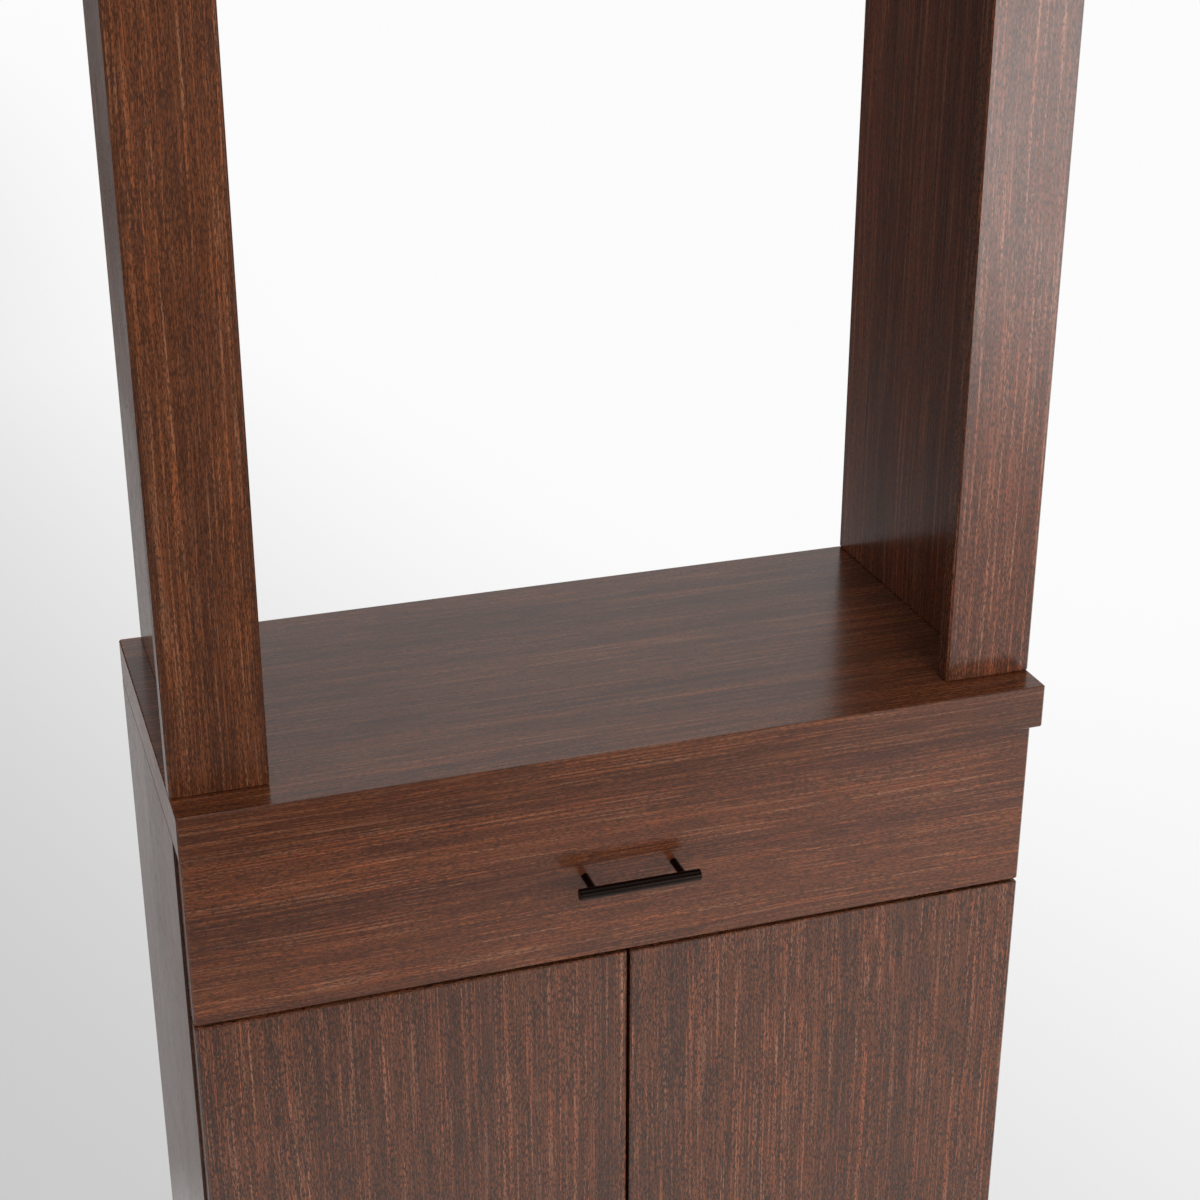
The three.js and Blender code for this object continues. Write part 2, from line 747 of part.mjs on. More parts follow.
// The arm: a channel on a winged plate. A strip of its web bends down into the cup and ends in an eye
// round the cup's pin.
function hingeArm(z) {
  const plateLow = -sideInner + SEAT;
  const plateHigh = plateLow + PLATE_THICKNESS;
  const armTop = -sideInner + ARM_HEIGHT;
  const webX = armTop - ARM_SHEET / 2;
  const neckX = hingePinX + NECK_REACH;
  const noseY = carcassFront + ARM_NOSE;
  const slopeY = carcassFront + ARM_SLOPE;
  const plateY = carcassFront + PLATE_START;
  const rear = carcassFront + ARM_LENGTH;

  const cheekOutline = new THREE.Shape();
  cheekOutline.moveTo(plateLow, rear);
  cheekOutline.lineTo(plateLow, plateY);
  cheekOutline.lineTo(plateHigh, plateY);
  cheekOutline.lineTo(plateHigh, noseY);
  cheekOutline.lineTo(neckX, noseY);
  cheekOutline.lineTo(webX, slopeY);
  cheekOutline.lineTo(webX, rear);
  const outside = ARM_WIDTH / 2;
  const inside = outside - ARM_SHEET;
  const cheeks = [
    prism(cheekOutline, "z", z - outside, z - inside),
    prism(cheekOutline, "z", z + inside, z + outside),
  ];
  const webLine = [
    [neckX, noseY],
    [webX, slopeY],
    [webX, rear],
  ];
  const web = prism(foldedSheet(webLine, ARM_SHEET), "z", z - outside, z + outside);

  const eyeRadius = HINGE_PIN_RADIUS + SEAT + EYE_WALL;
  const neckSpan = [z - NECK_WIDTH / 2, z + NECK_WIDTH / 2];
  const neckLine = [
    [hingePinX, hingePinY],
    [neckX - NECK_BEND, hingePinY - NECK_DROP],
    [neckX, hingePinY - NECK_DROP + NECK_BEND],
    [neckX, noseY + ARM_SHEET],
  ];
  const neck = prism(foldedSheet(neckLine, NECK_SHEET), "z", ...neckSpan);
  const eye = rod("z", eyeRadius, neckSpan, [hingePinX, hingePinY], ROUND_STEPS);
  const pinHole = rod(
    "z",
    HINGE_PIN_RADIUS + SEAT,
    [neckSpan[0] - OVERRUN, neckSpan[1] + OVERRUN],
    [hingePinX, hingePinY],
  );

  const plate = block(
    [plateLow, plateHigh],
    [plateY, plateY + PLATE_LENGTH],
    [z - PLATE_WIDTH / 2, z + PLATE_WIDTH / 2],
  );
  const wing = new THREE.Shape();
  const wingMiddle = carcassFront + PLATE_WING_START + PLATE_WING_WIDTH / 2;
  const wingReach = PLATE_WING_SPAN / 2 - PLATE_WING_WIDTH / 2;
  wing.absarc(wingMiddle, z + wingReach, PLATE_WING_WIDTH / 2, 0, Math.PI);
  wing.absarc(wingMiddle, z - wingReach, PLATE_WING_WIDTH / 2, Math.PI, 2 * Math.PI);
  const wings = prism(wing, "x", plateLow, plateHigh);
  const arm = join(plate, wings, ...cheeks, web, neck, eye);
  return cut(arm, pinHole);
}

addPair("door", door(), veneer);
for (const [place, z] of Object.entries(hingeHeights)) {
  addPair("hinge_cup_" + place, hingeCup(z), steel);
  addPair("hinge_arm_" + place, hingeArm(z), steel);
}

// Push latches under the divider rail, and the strikes that they meet on the doors

const latchTop = dividerBottom - SEAT;
const latchHeight = latchTop - LATCH_HEIGHT / 2;
const plungerTip = frontBack + SEAT + STRIKE_THICKNESS + SEAT;

function latchBody() {
  const housing = block(
    [-LATCH_FROM_MIDDLE - LATCH_WIDTH / 2, -LATCH_FROM_MIDDLE + LATCH_WIDTH / 2],
    [carcassFront, carcassFront + LATCH_LENGTH],
    [latchTop - LATCH_HEIGHT, latchTop],
  );
  const earMiddle = carcassFront + LATCH_LENGTH / 2;
  const ears = block(
    [-LATCH_FROM_MIDDLE - LATCH_EAR_SPAN / 2, -LATCH_FROM_MIDDLE + LATCH_EAR_SPAN / 2],
    [earMiddle - LATCH_EAR_LENGTH / 2, earMiddle + LATCH_EAR_LENGTH / 2],
    [latchTop - LATCH_EAR, latchTop],
  );
  const boreEnd = plungerTip + PLUNGER_LENGTH + PLUNGER_TRAVEL + SEAT;
  const bore = rod(
    "y",
    PLUNGER_RADIUS + SEAT,
    [carcassFront - OVERRUN, boreEnd],
    [-LATCH_FROM_MIDDLE, latchHeight],
    ROUND_STEPS,
  );
  return cut(join(housing, ears), bore);
}

function latchPlunger() {
  const profile = [
    [0, plungerTip],
    [PLUNGER_RADIUS - PLUNGER_TIP, plungerTip],
    [PLUNGER_RADIUS, plungerTip + PLUNGER_TIP],
    [PLUNGER_RADIUS, plungerTip + PLUNGER_LENGTH],
    [0, plungerTip + PLUNGER_LENGTH],
  ];
  return turned(profile, [-LATCH_FROM_MIDDLE, latchHeight], ROUND_STEPS);
}

function strikePlate() {
  const low = frontBack + SEAT;
  const span = [low, low + STRIKE_THICKNESS];
  return rod("y", STRIKE_RADIUS, span, [-LATCH_FROM_MIDDLE, latchHeight], ROUND_STEPS);
}

addPair("latch_body", latchBody(), plastic);
addPair("latch_plunger", latchPlunger(), plastic);
addPair("strike_plate", strikePlate(), steel);

// The origin: on the floor, half way between the pull and the back.
const foremost = barPlace - BAR_RADIUS;
cabinet.position.y = -(foremost + carcassBack) / 2;

export default cabinet;
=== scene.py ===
"""Looks of a tall wine cabinet of veneered boards, with a drawer on slides and two doors on cup hinges."""
import logging
import math
from dataclasses import dataclass
from enum import Enum, StrEnum
from functools import cache

import bmesh
import bpy
from mathutils import Matrix, Vector


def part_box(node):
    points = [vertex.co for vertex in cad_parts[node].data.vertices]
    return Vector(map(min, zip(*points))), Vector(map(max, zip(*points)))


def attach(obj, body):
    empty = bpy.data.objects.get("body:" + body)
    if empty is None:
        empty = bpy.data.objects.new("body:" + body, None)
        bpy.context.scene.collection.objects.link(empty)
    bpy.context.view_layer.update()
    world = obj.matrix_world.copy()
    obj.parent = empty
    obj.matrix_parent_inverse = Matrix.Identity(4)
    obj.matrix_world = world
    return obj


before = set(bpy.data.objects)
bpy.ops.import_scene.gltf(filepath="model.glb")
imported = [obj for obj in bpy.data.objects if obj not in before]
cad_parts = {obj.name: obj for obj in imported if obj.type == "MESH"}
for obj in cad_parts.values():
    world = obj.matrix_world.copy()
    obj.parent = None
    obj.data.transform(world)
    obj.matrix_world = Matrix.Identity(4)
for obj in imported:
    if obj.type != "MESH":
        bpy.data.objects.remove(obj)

log = logging.getLogger("wine_cabinet")

Node = bpy.types.Node
Tree = bpy.types.NodeTree
Socket = bpy.types.NodeSocket
Sockets = bpy.types.bpy_prop_collection
Material = bpy.types.Material
Piece = bpy.types.Object
Value = Socket | float | tuple[float, ...] | Vector
Colour = tuple[int, int, int]
Linear = tuple[float, float, float, float]
Point = tuple[float, float, float]
Names = tuple[str, ...]

MM = 0.001
ARRIS = 0.12 * MM
WHITE: Linear = (1.0, 1.0, 1.0, 1.0)


class Kind(Enum):
    """What a socket carries, by Blender's names."""

    NUMBER = "FLOAT"
    VECTOR = "VECTOR"
    COLOUR = "RGBA"


class Lay(Enum):
    """The direction that a board's grain runs in."""

    UPRIGHT = "upright"
    LEVEL = "level"
    DEEP = "deep"


class Side(StrEnum):
    """The cabinet's sides, as seen from its front."""

    LEFT = "left"
    RIGHT = "right"

    @property
    def outward(self) -> int:
        """The sign of X on this side."""
        return -1 if self is Side.LEFT else 1


def paint(colour: Colour) -> Linear:
    """Turns a screen colour in 0 to 255 steps into a linear one.

    Args:
        colour: Red, green and blue.

    Returns:
        The linear colour with full alpha.
    """

    def linear(step: int) -> float:
        """Undoes the screen curve for one channel."""
        share = step / 255
        return share / 12.92 if share <= 0.04045 else ((share + 0.055) / 1.055) ** 2.4

    red, green, blue = map(linear, colour)
    return red, green, blue, 1.0


class Wiring:
    """Adds and joins nodes in one node tree."""

    mix_inputs = {Kind.NUMBER: 2, Kind.VECTOR: 4, Kind.COLOUR: 6}
    mix_outputs = {Kind.NUMBER: 0, Kind.VECTOR: 1, Kind.COLOUR: 2}

    def __init__(self, tree: Tree) -> None:
        """Starts on a tree."""
        self.tree = tree

    def node(self, kind: str, **settings: object) -> Node:
        """Adds a node and sets its options.

        Args:
            kind: Blender's name for the node.
            **settings: Options to set on it.

        Returns:
            The node.
        """
        made = self.tree.nodes.new(kind)
        for name, value in settings.items():
            setattr(made, name, value)
        return made

    def feed(self, socket: Socket, value: Value) -> None:
        """Links a socket to another one, or gives it a plain value.

        Args:
            socket: The input.
            value: An output socket, a number, a vector or a colour.
        """
        if isinstance(value, Socket):
            self.tree.links.new(value, socket)
        else:
            socket.default_value = value

    def feed_all(self, made: Node, *values: Value, **named: Value) -> Sockets:
        """Feeds a node's inputs.

        Args:
            made: The node.
            *values: What its first inputs get, in their order.
            **named: What other inputs get, by their names in small letters.

        Returns:
            Its outputs.
        """
        for socket, value in zip(made.inputs, values):
            self.feed(socket, value)
        for name, value in named.items():
            self.feed(made.inputs[name.capitalize()], value)
        return made.outputs

    def maths(self, operation: str, *values: Value) -> Socket:
        """Adds one step of arithmetic, by Blender's name for it."""
        return self.feed_all(self.node("ShaderNodeMath", operation=operation), *values)[0]

    def vector(self, operation: str, *values: Value) -> Socket:
        """Adds one step of vector arithmetic, by Blender's name for it."""
        results = self.feed_all(self.node("ShaderNodeVectorMath", operation=operation), *values)
        return results["Value" if operation in ("DOT_PRODUCT", "LENGTH") else "Vector"]

    def join(self, *values: Value) -> Socket:
        """Joins X, Y and Z into a vector."""
        return self.feed_all(self.node("ShaderNodeCombineXYZ"), *values)[0]

    def split(self, value: Socket) -> Sockets:
        """Splits a vector into sockets by the names X, Y and Z."""
        return self.feed_all(self.node("ShaderNodeSeparateXYZ"), value)

    def ramp(self, value: Value, start: float, end: float, low: Value = 0.0, high: Value = 1.0) -> Socket:
        """Eases a value, from low at start to high at end."""
        made = self.node("ShaderNodeMapRange", interpolation_type="SMOOTHSTEP")
        return self.feed_all(made, value, start, end, low, high)[0]

    def blend(self, share: Value, first: Value, second: Value, kind: Kind = Kind.COLOUR) -> Socket:
        """Blends two colours, vectors or numbers.

        Args:
            share: How much of the second.
            first: The first.
            second: The second.
            kind: What they are.

        Returns:
            The result's socket.
        """
        made = self.node("ShaderNodeMix", data_type=kind.value)
        place = self.mix_inputs[kind]
        for index, value in ((0, share), (place, first), (place + 1, second)):
            self.feed(made.inputs[index], value)
        return made.outputs[self.mix_outputs[kind]]

    def noise(self, place: Socket, detail: float = 2.0, roughness: float = 0.5, scale: float = 1.0) -> Socket:
        """Adds a cloudy pattern, about 0.5 in the middle, of so many clouds to a unit of length."""
        made = self.node("ShaderNodeTexNoise")
        return self.feed_all(made, vector=place, scale=scale, detail=detail, roughness=roughness)["Fac"]

    def group(self, tree: Tree, **values: Value) -> Sockets:
        """Places a node group and feeds its inputs by name."""
        return self.feed_all(self.node("ShaderNodeGroup", node_tree=tree), **values)


@dataclass(frozen=True)
class Marks:
    """A pattern of marks, from their length along the grain and width in metres, and the range that shows."""

    along: float
    across: float
    start: float = 0.0
    full: float = 1.0
    detail: float = 2.0
    roughness: float = 0.5

    def noise(self, wiring: Wiring, grain: Socket) -> Socket:
        """The bare pattern, where X runs along the grain."""
        stretched = wiring.vector("MULTIPLY", grain, (1 / self.along, 1 / self.across, 1 / self.across))
        return wiring.noise(stretched, self.detail, self.roughness)

    def mask(self, wiring: Wiring, grain: Socket) -> Socket:
        """The marks that show, as 0 to 1."""
        return wiring.ramp(self.noise(wiring, grain), self.start, self.full)


@dataclass(frozen=True)
class SharedEffects:
    """The shader node groups that several finishes use. Each is built once."""

    end_facing: float = 0.8
    sways: tuple[tuple[Marks, float], ...] = (
        (Marks(1 / 2.2, 1 / 6, detail=1.0), 0.016),
        (Marks(1 / 9, 1 / 40, detail=1.0), 0.0012),
    )
    band: Marks = Marks(1.3, 0.03, 0.36, 0.64)
    line: Marks = Marks(0.4, 0.0034, 0.48, 0.68, 3.0, 0.72)
    patch: Marks = Marks(0.07, 0.005, 0.44, 0.6)
    thread: Marks = Marks(0.05, 0.001, 0.5, 0.64, roughness=0.6)
    pore: Marks = Marks(0.0042, 0.0009, 0.56, 0.42, roughness=0.6)
    crowd: Marks = Marks(0.09, 0.009)
    crowding: float = 0.24
    thread_rise: float = 0.3
    pore_drop: float = 0.7
    ring: Marks = Marks(1 / 1.6, 1 / 22)
    ring_waves: float = 46.0
    ring_start: float = -0.6
    fleck: Marks = Marks(1 / 70, 1 / 900, 0.52, 0.7, roughness=0.6)
    edge_start: float = 0.985
    edge_full: float = 0.86
    worn_patch: Marks = Marks(1 / 45, 1 / 45, 0.35, 0.75, 3.0, 0.6)
    smudge: Marks = Marks(1.0, 1.0, 0.4, 0.7, 3.0, 0.55)
    rub: Marks = Marks(1 / 22, 1 / 22, 0.45, 0.65, 4.0, 0.7)

    def start(
        self, name: str, vectors: Names, numbers: Names, outputs: Names, kind: Kind = Kind.NUMBER
    ) -> tuple[Wiring, Sockets, Node]:
        """Opens a new group.

        Args:
            name: The group's name.
            vectors: The inputs that carry vectors.
            numbers: The inputs that carry numbers.
            outputs: The outputs.
            kind: What the outputs carry.

        Returns:
            The wiring, the sockets that give the inputs, by name, and the node that takes the outputs.
        """
        tree = bpy.data.node_groups.new(name, "ShaderNodeTree")
        types = {Kind.NUMBER: "NodeSocketFloat", Kind.VECTOR: "NodeSocketVector"}
        rows = ((vectors, "INPUT", Kind.VECTOR), (numbers, "INPUT", Kind.NUMBER), (outputs, "OUTPUT", kind))
        for labels, way, carried in rows:
            for label in labels:
                tree.interface.new_socket(name=label, in_out=way, socket_type=types[carried])
        wiring = Wiring(tree)
        return wiring, wiring.node("NodeGroupInput").outputs, wiring.node("NodeGroupOutput")

    @cache
    def grain_direction(self, lay: Lay) -> Tree:
        """Turns a place on a board so that X runs along its grain, on its ends along the edging.

        Args:
            lay: The direction of the board's grain.

        Returns:
            The group.
        """
        places = ("Position", "Facing", "Shift")
        wiring, source, result = self.start(f"grain_{lay.value}", places, (), ("Grain",), Kind.VECTOR)
        place, facing = wiring.split(source["Position"]), wiring.split(source["Facing"])
        # The order of the axes on the board's faces and on its ends, and the axis that its ends face
        *ways, end = {
            Lay.UPRIGHT: ("ZXY", "XZY", "Z"),
            Lay.LEVEL: ("XZY", "YXZ", "X"),
            Lay.DEEP: ("YXZ", "YXZ", "Y"),
        }[lay]
        turned = [wiring.join(*(place[axis] for axis in way)) for way in ways]
        is_end = wiring.maths("GREATER_THAN", wiring.maths("ABSOLUTE", facing[end]), self.end_facing)
        picked = wiring.blend(is_end, *turned, Kind.VECTOR)
        wiring.feed_all(result, grain=wiring.vector("ADD", picked, source["Shift"]))
        return wiring.tree

    @cache
    def veneer_figure(self) -> Tree:
        """The figure of a dark ribboned veneer along X: bands, long lines, tan patches, threads and pores.

        Returns:
            The group.
        """
        outputs = ("Band", "Line", "Patch", "Thread", "Pore", "Height")
        wiring, source, result = self.start("veneer_figure", ("Grain",), ("Fineness",), outputs)
        bend: Value = 0.0
        for sway, reach in self.sways:
            off_middle = wiring.maths("SUBTRACT", sway.noise(wiring, source["Grain"]), 0.5)
            bend = wiring.maths("MULTIPLY_ADD", off_middle, reach, bend)
        grain = wiring.vector("ADD", source["Grain"], wiring.join(0.0, bend, bend))
        tight = wiring.vector("MULTIPLY", grain, wiring.join(1.0, source["Fineness"], source["Fineness"]))
        thread = self.thread.mask(wiring, grain)
        crowd = self.crowd.noise(wiring, grain)
        crowd = wiring.maths("MULTIPLY_ADD", crowd, self.crowding, -self.crowding / 2)
        crowded = wiring.maths("ADD", self.pore.noise(wiring, grain), crowd)
        pore = wiring.ramp(crowded, self.pore.start, self.pore.full)
        sunk = wiring.maths("MULTIPLY", pore, -self.pore_drop)
        wiring.feed_all(
            result,
            band=self.band.mask(wiring, grain),
            line=self.line.mask(wiring, tight),
            patch=self.patch.mask(wiring, grain),
            thread=thread,
            pore=pore,
            height=wiring.maths("MULTIPLY_ADD", thread, self.thread_rise, sunk),
        )
        return wiring.tree

    @cache
    def solid_figure(self) -> Tree:
        """The figure of a pale close-grained solid wood: slow rings and fine flecks along X.

        Returns:
            The group.
        """
        wiring, source, result = self.start("solid_figure", ("Grain",), (), ("Ring", "Fleck"))
        waves = wiring.maths("MULTIPLY", self.ring.noise(wiring, source["Grain"]), self.ring_waves)
        ring = wiring.ramp(wiring.maths("SINE", waves), self.ring_start, 1.0)
        wiring.feed_all(result, ring=ring, fleck=self.fleck.mask(wiring, source["Grain"]))
        return wiring.tree

    @cache
    def worn_arris(self) -> Tree:
        """A mask of the outer edges, broken up by noise, where a finish rubs thin.

        Returns:
            The group.
        """
        wiring, source, result = self.start("worn_arris", ("Position",), ("Width", "Amount"), ("Wear",))
        rounded = wiring.feed_all(wiring.node("ShaderNodeBevel", samples=4), radius=source["Width"])[0]
        flat = wiring.node("ShaderNodeNewGeometry").outputs["Normal"]
        edge = wiring.ramp(wiring.vector("DOT_PRODUCT", rounded, flat), self.edge_start, self.edge_full)
        broken = wiring.maths("MULTIPLY", edge, self.worn_patch.mask(wiring, source["Position"]))
        wiring.feed_all(result, wear=wiring.maths("MULTIPLY", broken, source["Amount"]))
        return wiring.tree

    @cache
    def handling(self) -> Tree:
        """Soft smudges and fine rubbing marks for the roughness of a finish.

        Returns:
            The group.
        """
        wiring, source, result = self.start("handling", ("Position",), ("Scale",), ("Smudge", "Rub"))
        scaled = wiring.vector("SCALE", source["Position"])
        wiring.feed_all(scaled.node, scale=source["Scale"])
        wiring.feed_all(result, smudge=self.smudge.mask(wiring, scaled), rub=self.rub.mask(wiring, scaled))
        return wiring.tree


EFFECTS = SharedEffects()


@dataclass(frozen=True)
class Wear:
    """How a finish rubs through along its edges: to what colour, how much, and how far in, in metres."""

    bare: Colour
    amount: float
    width: float = 0.8 * MM


@dataclass(frozen=True)
class Relief:
    """A fine relief: metres from its lowest to its highest, and how much of it shows."""

    depth: float
    strength: float


class Surface:
    """A material in the making: its wiring, its one shader, the place on it and the way it faces."""

    def __init__(self, name: str) -> None:
        """Starts a material.

        Args:
            name: Its name.
        """
        self.material = bpy.data.materials.new(name)
        self.material.use_nodes = True
        self.material.node_tree.nodes.clear()
        self.wiring = Wiring(self.material.node_tree)
        self.shader = self.wiring.node("ShaderNodeBsdfPrincipled")
        self.wiring.feed_all(self.wiring.node("ShaderNodeOutputMaterial"), self.shader.outputs[0])
        places = self.wiring.node("ShaderNodeTexCoord").outputs
        self.place, self.facing = places["Object"], places["Normal"]

    def set(self, name: str, value: Value) -> None:
        """Sets one of the shader's inputs."""
        self.wiring.feed(self.shader.inputs[name], value)

    def grain(self, lay: Lay, step: Point, number: int) -> Socket:
        """Turns the place to the board's grain, and moves it on so that each board has a figure of its own.

        Args:
            lay: The direction of the grain.
            step: How far apart two boards' figures are, in metres.
            number: The board's place in the stack.

        Returns:
            The socket of the place along the grain.
        """
        shift = tuple(number * distance for distance in step)
        turn = EFFECTS.grain_direction(lay)
        return self.wiring.group(turn, position=self.place, facing=self.facing, shift=shift)["Grain"]

    def layer(self, mask: Socket, share: Value, below: Value, colour: Value) -> Socket:
        """Lays a colour over another where a mask shows."""
        return self.wiring.blend(self.wiring.maths("MULTIPLY", mask, share), below, colour)

    def handled(self, scale: float) -> Sockets:
        """Adds its smudges and rubbing marks, so many to a metre."""
        return self.wiring.group(EFFECTS.handling(), position=self.place, scale=scale)

    def colour(self, whole: Value, wear: Wear) -> Socket:
        """Gives the shader its colour, rubbed through along the edges.

        Args:
            whole: The colour where the finish is whole.
            wear: How it rubs.

        Returns:
            The mask of the rubbed edges.
        """
        effect = EFFECTS.worn_arris()
        worn = self.wiring.group(effect, position=self.place, width=wear.width, amount=wear.amount)["Wear"]
        self.set("Base Color", self.wiring.blend(worn, whole, paint(wear.bare)))
        return worn

    def dull(self, roughness: Value, *marks: tuple[Socket, float]) -> None:
        """Gives the shader its roughness.

        Args:
            roughness: What it is where nothing marks it.
            *marks: Masks, and how much each adds.
        """
        for mask, added in marks:
            roughness = self.wiring.maths("MULTIPLY_ADD", mask, added, roughness)
        self.set("Roughness", roughness)

    def emboss(self, height: Socket, relief: Relief) -> None:
        """Gives the shader a relief of that height."""
        bump = self.wiring.node("ShaderNodeBump")
        self.set("Normal", self.wiring.feed_all(bump, relief.strength, relief.depth, height=height)[0])


@dataclass(frozen=True)
class Veneer:
    """Dark ribboned veneer under semi-gloss lacquer."""

    lay: Lay
    fineness: float = 1.25
    base: Colour = (91, 51, 31)
    dark: Colour = (75, 42, 26)
    line: Colour = (150, 86, 50)
    tan: Colour = (150, 108, 80)
    thread: Colour = (132, 77, 45)
    pore: Colour = (42, 26, 18)
    wear: Wear = Wear((138, 96, 70), 0.16)
    speckle: float = 0.7
    least_line: float = 0.42
    band_line: float = 0.38
    tan_share: float = 0.7
    thread_share: float = 0.42
    figure_step: Point = (0.731, 0.417, 0.273)
    roughness: float = 0.18
    smudge_scale: float = 5.0
    smudge_dulls: float = 0.05
    pore_dulls: float = 0.03
    rub_dulls: float = 0.03
    relief: Relief = Relief(0.01 * MM, 0.2)

    def dress(self, board: str, number: int) -> Material:
        """Makes the finish for one board, with a figure of its own.

        Args:
            board: The board's name.
            number: Its place in the stack of veneers.

        Returns:
            The material.
        """
        surface = Surface(f"veneer_{board}")
        wiring = surface.wiring
        grain = surface.grain(self.lay, self.figure_step, number)
        figure = wiring.group(EFFECTS.veneer_figure(), grain=grain, fineness=self.fineness)
        ground = wiring.blend(figure["Band"], paint(self.dark), paint(self.base))
        lively = wiring.maths("MULTIPLY_ADD", figure["Band"], self.band_line, self.least_line)
        tinted = surface.layer(figure["Patch"], self.tan_share, paint(self.line), paint(self.tan))
        lined = surface.layer(figure["Line"], lively, ground, tinted)
        threaded = surface.layer(figure["Thread"], self.thread_share, lined, paint(self.thread))
        pored = surface.layer(figure["Pore"], self.speckle, threaded, paint(self.pore))
        surface.colour(pored, self.wear)
        marks = surface.handled(self.smudge_scale)
        surface.dull(
            self.roughness,
            (marks["Smudge"], self.smudge_dulls),
            (figure["Pore"], self.pore_dulls),
            (marks["Rub"], self.rub_dulls),
        )
        surface.emboss(figure["Height"], self.relief)
        return surface.material


@dataclass(frozen=True)
class BoxWood:
    """Pale solid wood under satin lacquer, for the drawer box."""

    lay: Lay
    pale: Colour = (216, 184, 140)
    ring: Colour = (196, 156, 108)
    fleck: Colour = (172, 128, 84)
    wear: Wear = Wear((150, 108, 70), 0.35)
    ring_share: float = 0.6
    fleck_share: float = 0.55
    figure_step: Point = (0.61, 0.37, 0.19)
    roughness: float = 0.46
    smudge_scale: float = 9.0
    smudge_dulls: float = 0.08
    relief: Relief = Relief(0.1 * MM, 0.2)

    def dress(self, board: str, number: int) -> Material:
        """Makes the finish for one board.

        Args:
            board: The board's name.
            number: Sets its figure apart from the others.

        Returns:
            The material.
        """
        surface = Surface(f"box_wood_{board}")
        grain = surface.grain(self.lay, self.figure_step, number)
        figure = surface.wiring.group(EFFECTS.solid_figure(), grain=grain)
        ringed = surface.layer(figure["Ring"], self.ring_share, paint(self.pale), paint(self.ring))
        flecked = surface.layer(figure["Fleck"], self.fleck_share, ringed, paint(self.fleck))
        surface.colour(flecked, self.wear)
        surface.dull(self.roughness, (surface.handled(self.smudge_scale)["Smudge"], self.smudge_dulls))
        surface.emboss(figure["Fleck"], self.relief)
        return surface.material


@dataclass(frozen=True)
class Metal:
    """A metal finish: plated steel, or bronze that rubs bright along its edges."""

    name: str
    slot: str
    colour: Colour
    clouded: Colour
    wear: Wear
    roughness: float
    metallic: float
    brushed: Point = (260.0, 260.0, 2600.0)
    brush_roughness: float = 0.6
    cloud_share: float = 0.6
    smudge_scale: float = 38.0
    smudge_dulls: float = 0.1
    brush_dulls: float = 0.12
    rub_shines: float = 0.12
    relief: Relief = Relief(0.04 * MM, 0.25)

    @cache
    def dress(self) -> Material:
        """Makes the finish.

        Returns:
            The material.
        """
        surface = Surface(self.name)
        wiring = surface.wiring
        smudge = surface.handled(self.smudge_scale)["Smudge"]
        clouded = surface.layer(smudge, self.cloud_share, paint(self.colour), paint(self.clouded))
        worn = surface.colour(clouded, self.wear)
        surface.set("Metallic", self.metallic)
        stretched = wiring.vector("MULTIPLY", surface.place, self.brushed)
        lines = wiring.noise(stretched, roughness=self.brush_roughness)
        surface.dull(
            self.roughness - self.smudge_dulls / 2,
            (smudge, self.smudge_dulls),
            (lines, self.brush_dulls),
            (worn, -self.rub_shines),
        )
        surface.emboss(lines, self.relief)
        return surface.material


@dataclass(frozen=True)
class Plastic:
    """Moulded plastic with a fine spark-eroded skin."""

    name: str
    colour: Colour
    wear: Wear
    scuff_share: float = 0.3
    roughness: float = 0.48
    smudge_scale: float = 60.0
    smudge_dulls: float = 0.12
    grit_scale: float = 3200.0
    grit_roughness: float = 0.6
    relief: Relief = Relief(0.03 * MM, 0.5)

    @cache
    def dress(self) -> Material:
        """Makes the finish.

        Returns:
            The material.
        """
        surface = Surface(self.name)
        marks = surface.handled(self.smudge_scale)
        shade = surface.layer(marks["Rub"], self.scuff_share, paint(self.colour), paint(self.wear.bare))
        surface.colour(shade, self.wear)
        surface.dull(self.roughness, (marks["Smudge"], self.smudge_dulls))
        grit = surface.wiring.noise(surface.place, roughness=self.grit_roughness, scale=self.grit_scale)
        surface.emboss(grit, self.relief)
        return surface.material


UPRIGHT_VENEER = Veneer(Lay.UPRIGHT)
LEVEL_VENEER = Veneer(Lay.LEVEL, 1.8, (95, 50, 29), (72, 38, 23), speckle=0.6)
# Painted light: a paler, redder copy of the upright veneer for the right stile, standing in for the stronger
# lamp light that falls on it.
PAINTED_LIGHT_STILE_VENEER = Veneer(
    Lay.UPRIGHT, base=(103, 56, 38), dark=(85, 46, 31), line=(174, 102, 70), tan=(174, 128, 104), speckle=0.8
)
RED_VENEER = Veneer(Lay.UPRIGHT, base=(98, 47, 30), dark=(80, 39, 26), speckle=0.5)
DRAWER_VENEER = Veneer(Lay.LEVEL, 1.8, (96, 51, 29), (73, 38, 24), (153, 82, 46), speckle=0.65)
DOOR_VENEER = Veneer(Lay.UPRIGHT, 1.6, dark=(77, 44, 29), line=(172, 94, 62), tan=(166, 122, 96), speckle=0.9)
NICKEL_WEAR = Wear((226, 224, 218), 0.3, 0.4 * MM)
ZINC_WEAR = Wear((216, 219, 222), 0.4, 0.4 * MM)
BRONZE_WEAR = Wear((112, 80, 58), 0.4, 0.5 * MM)
NICKEL = Metal("nickel_plate", "nickel_steel", (206, 203, 197), (180, 176, 170), NICKEL_WEAR, 0.3, 0.86)
ZINC = Metal("zinc_plate", "zinc_steel", (190, 194, 198), (164, 170, 177), ZINC_WEAR, 0.42, 0.72)
BRONZE = Metal("dark_bronze", "dark_bronze", (46, 37, 33), (34, 28, 26), BRONZE_WEAR, 0.24, 1.0)
PLASTIC = Plastic("grey_plastic", (88, 87, 84), Wear((122, 120, 116), 0.7, 0.4 * MM))


@dataclass(frozen=True)
class HeadShape:
    """The profile of a screw head: its radius and the heights of its crown and rim, in millimetres."""

    radius: float
    crown: float
    rim: float


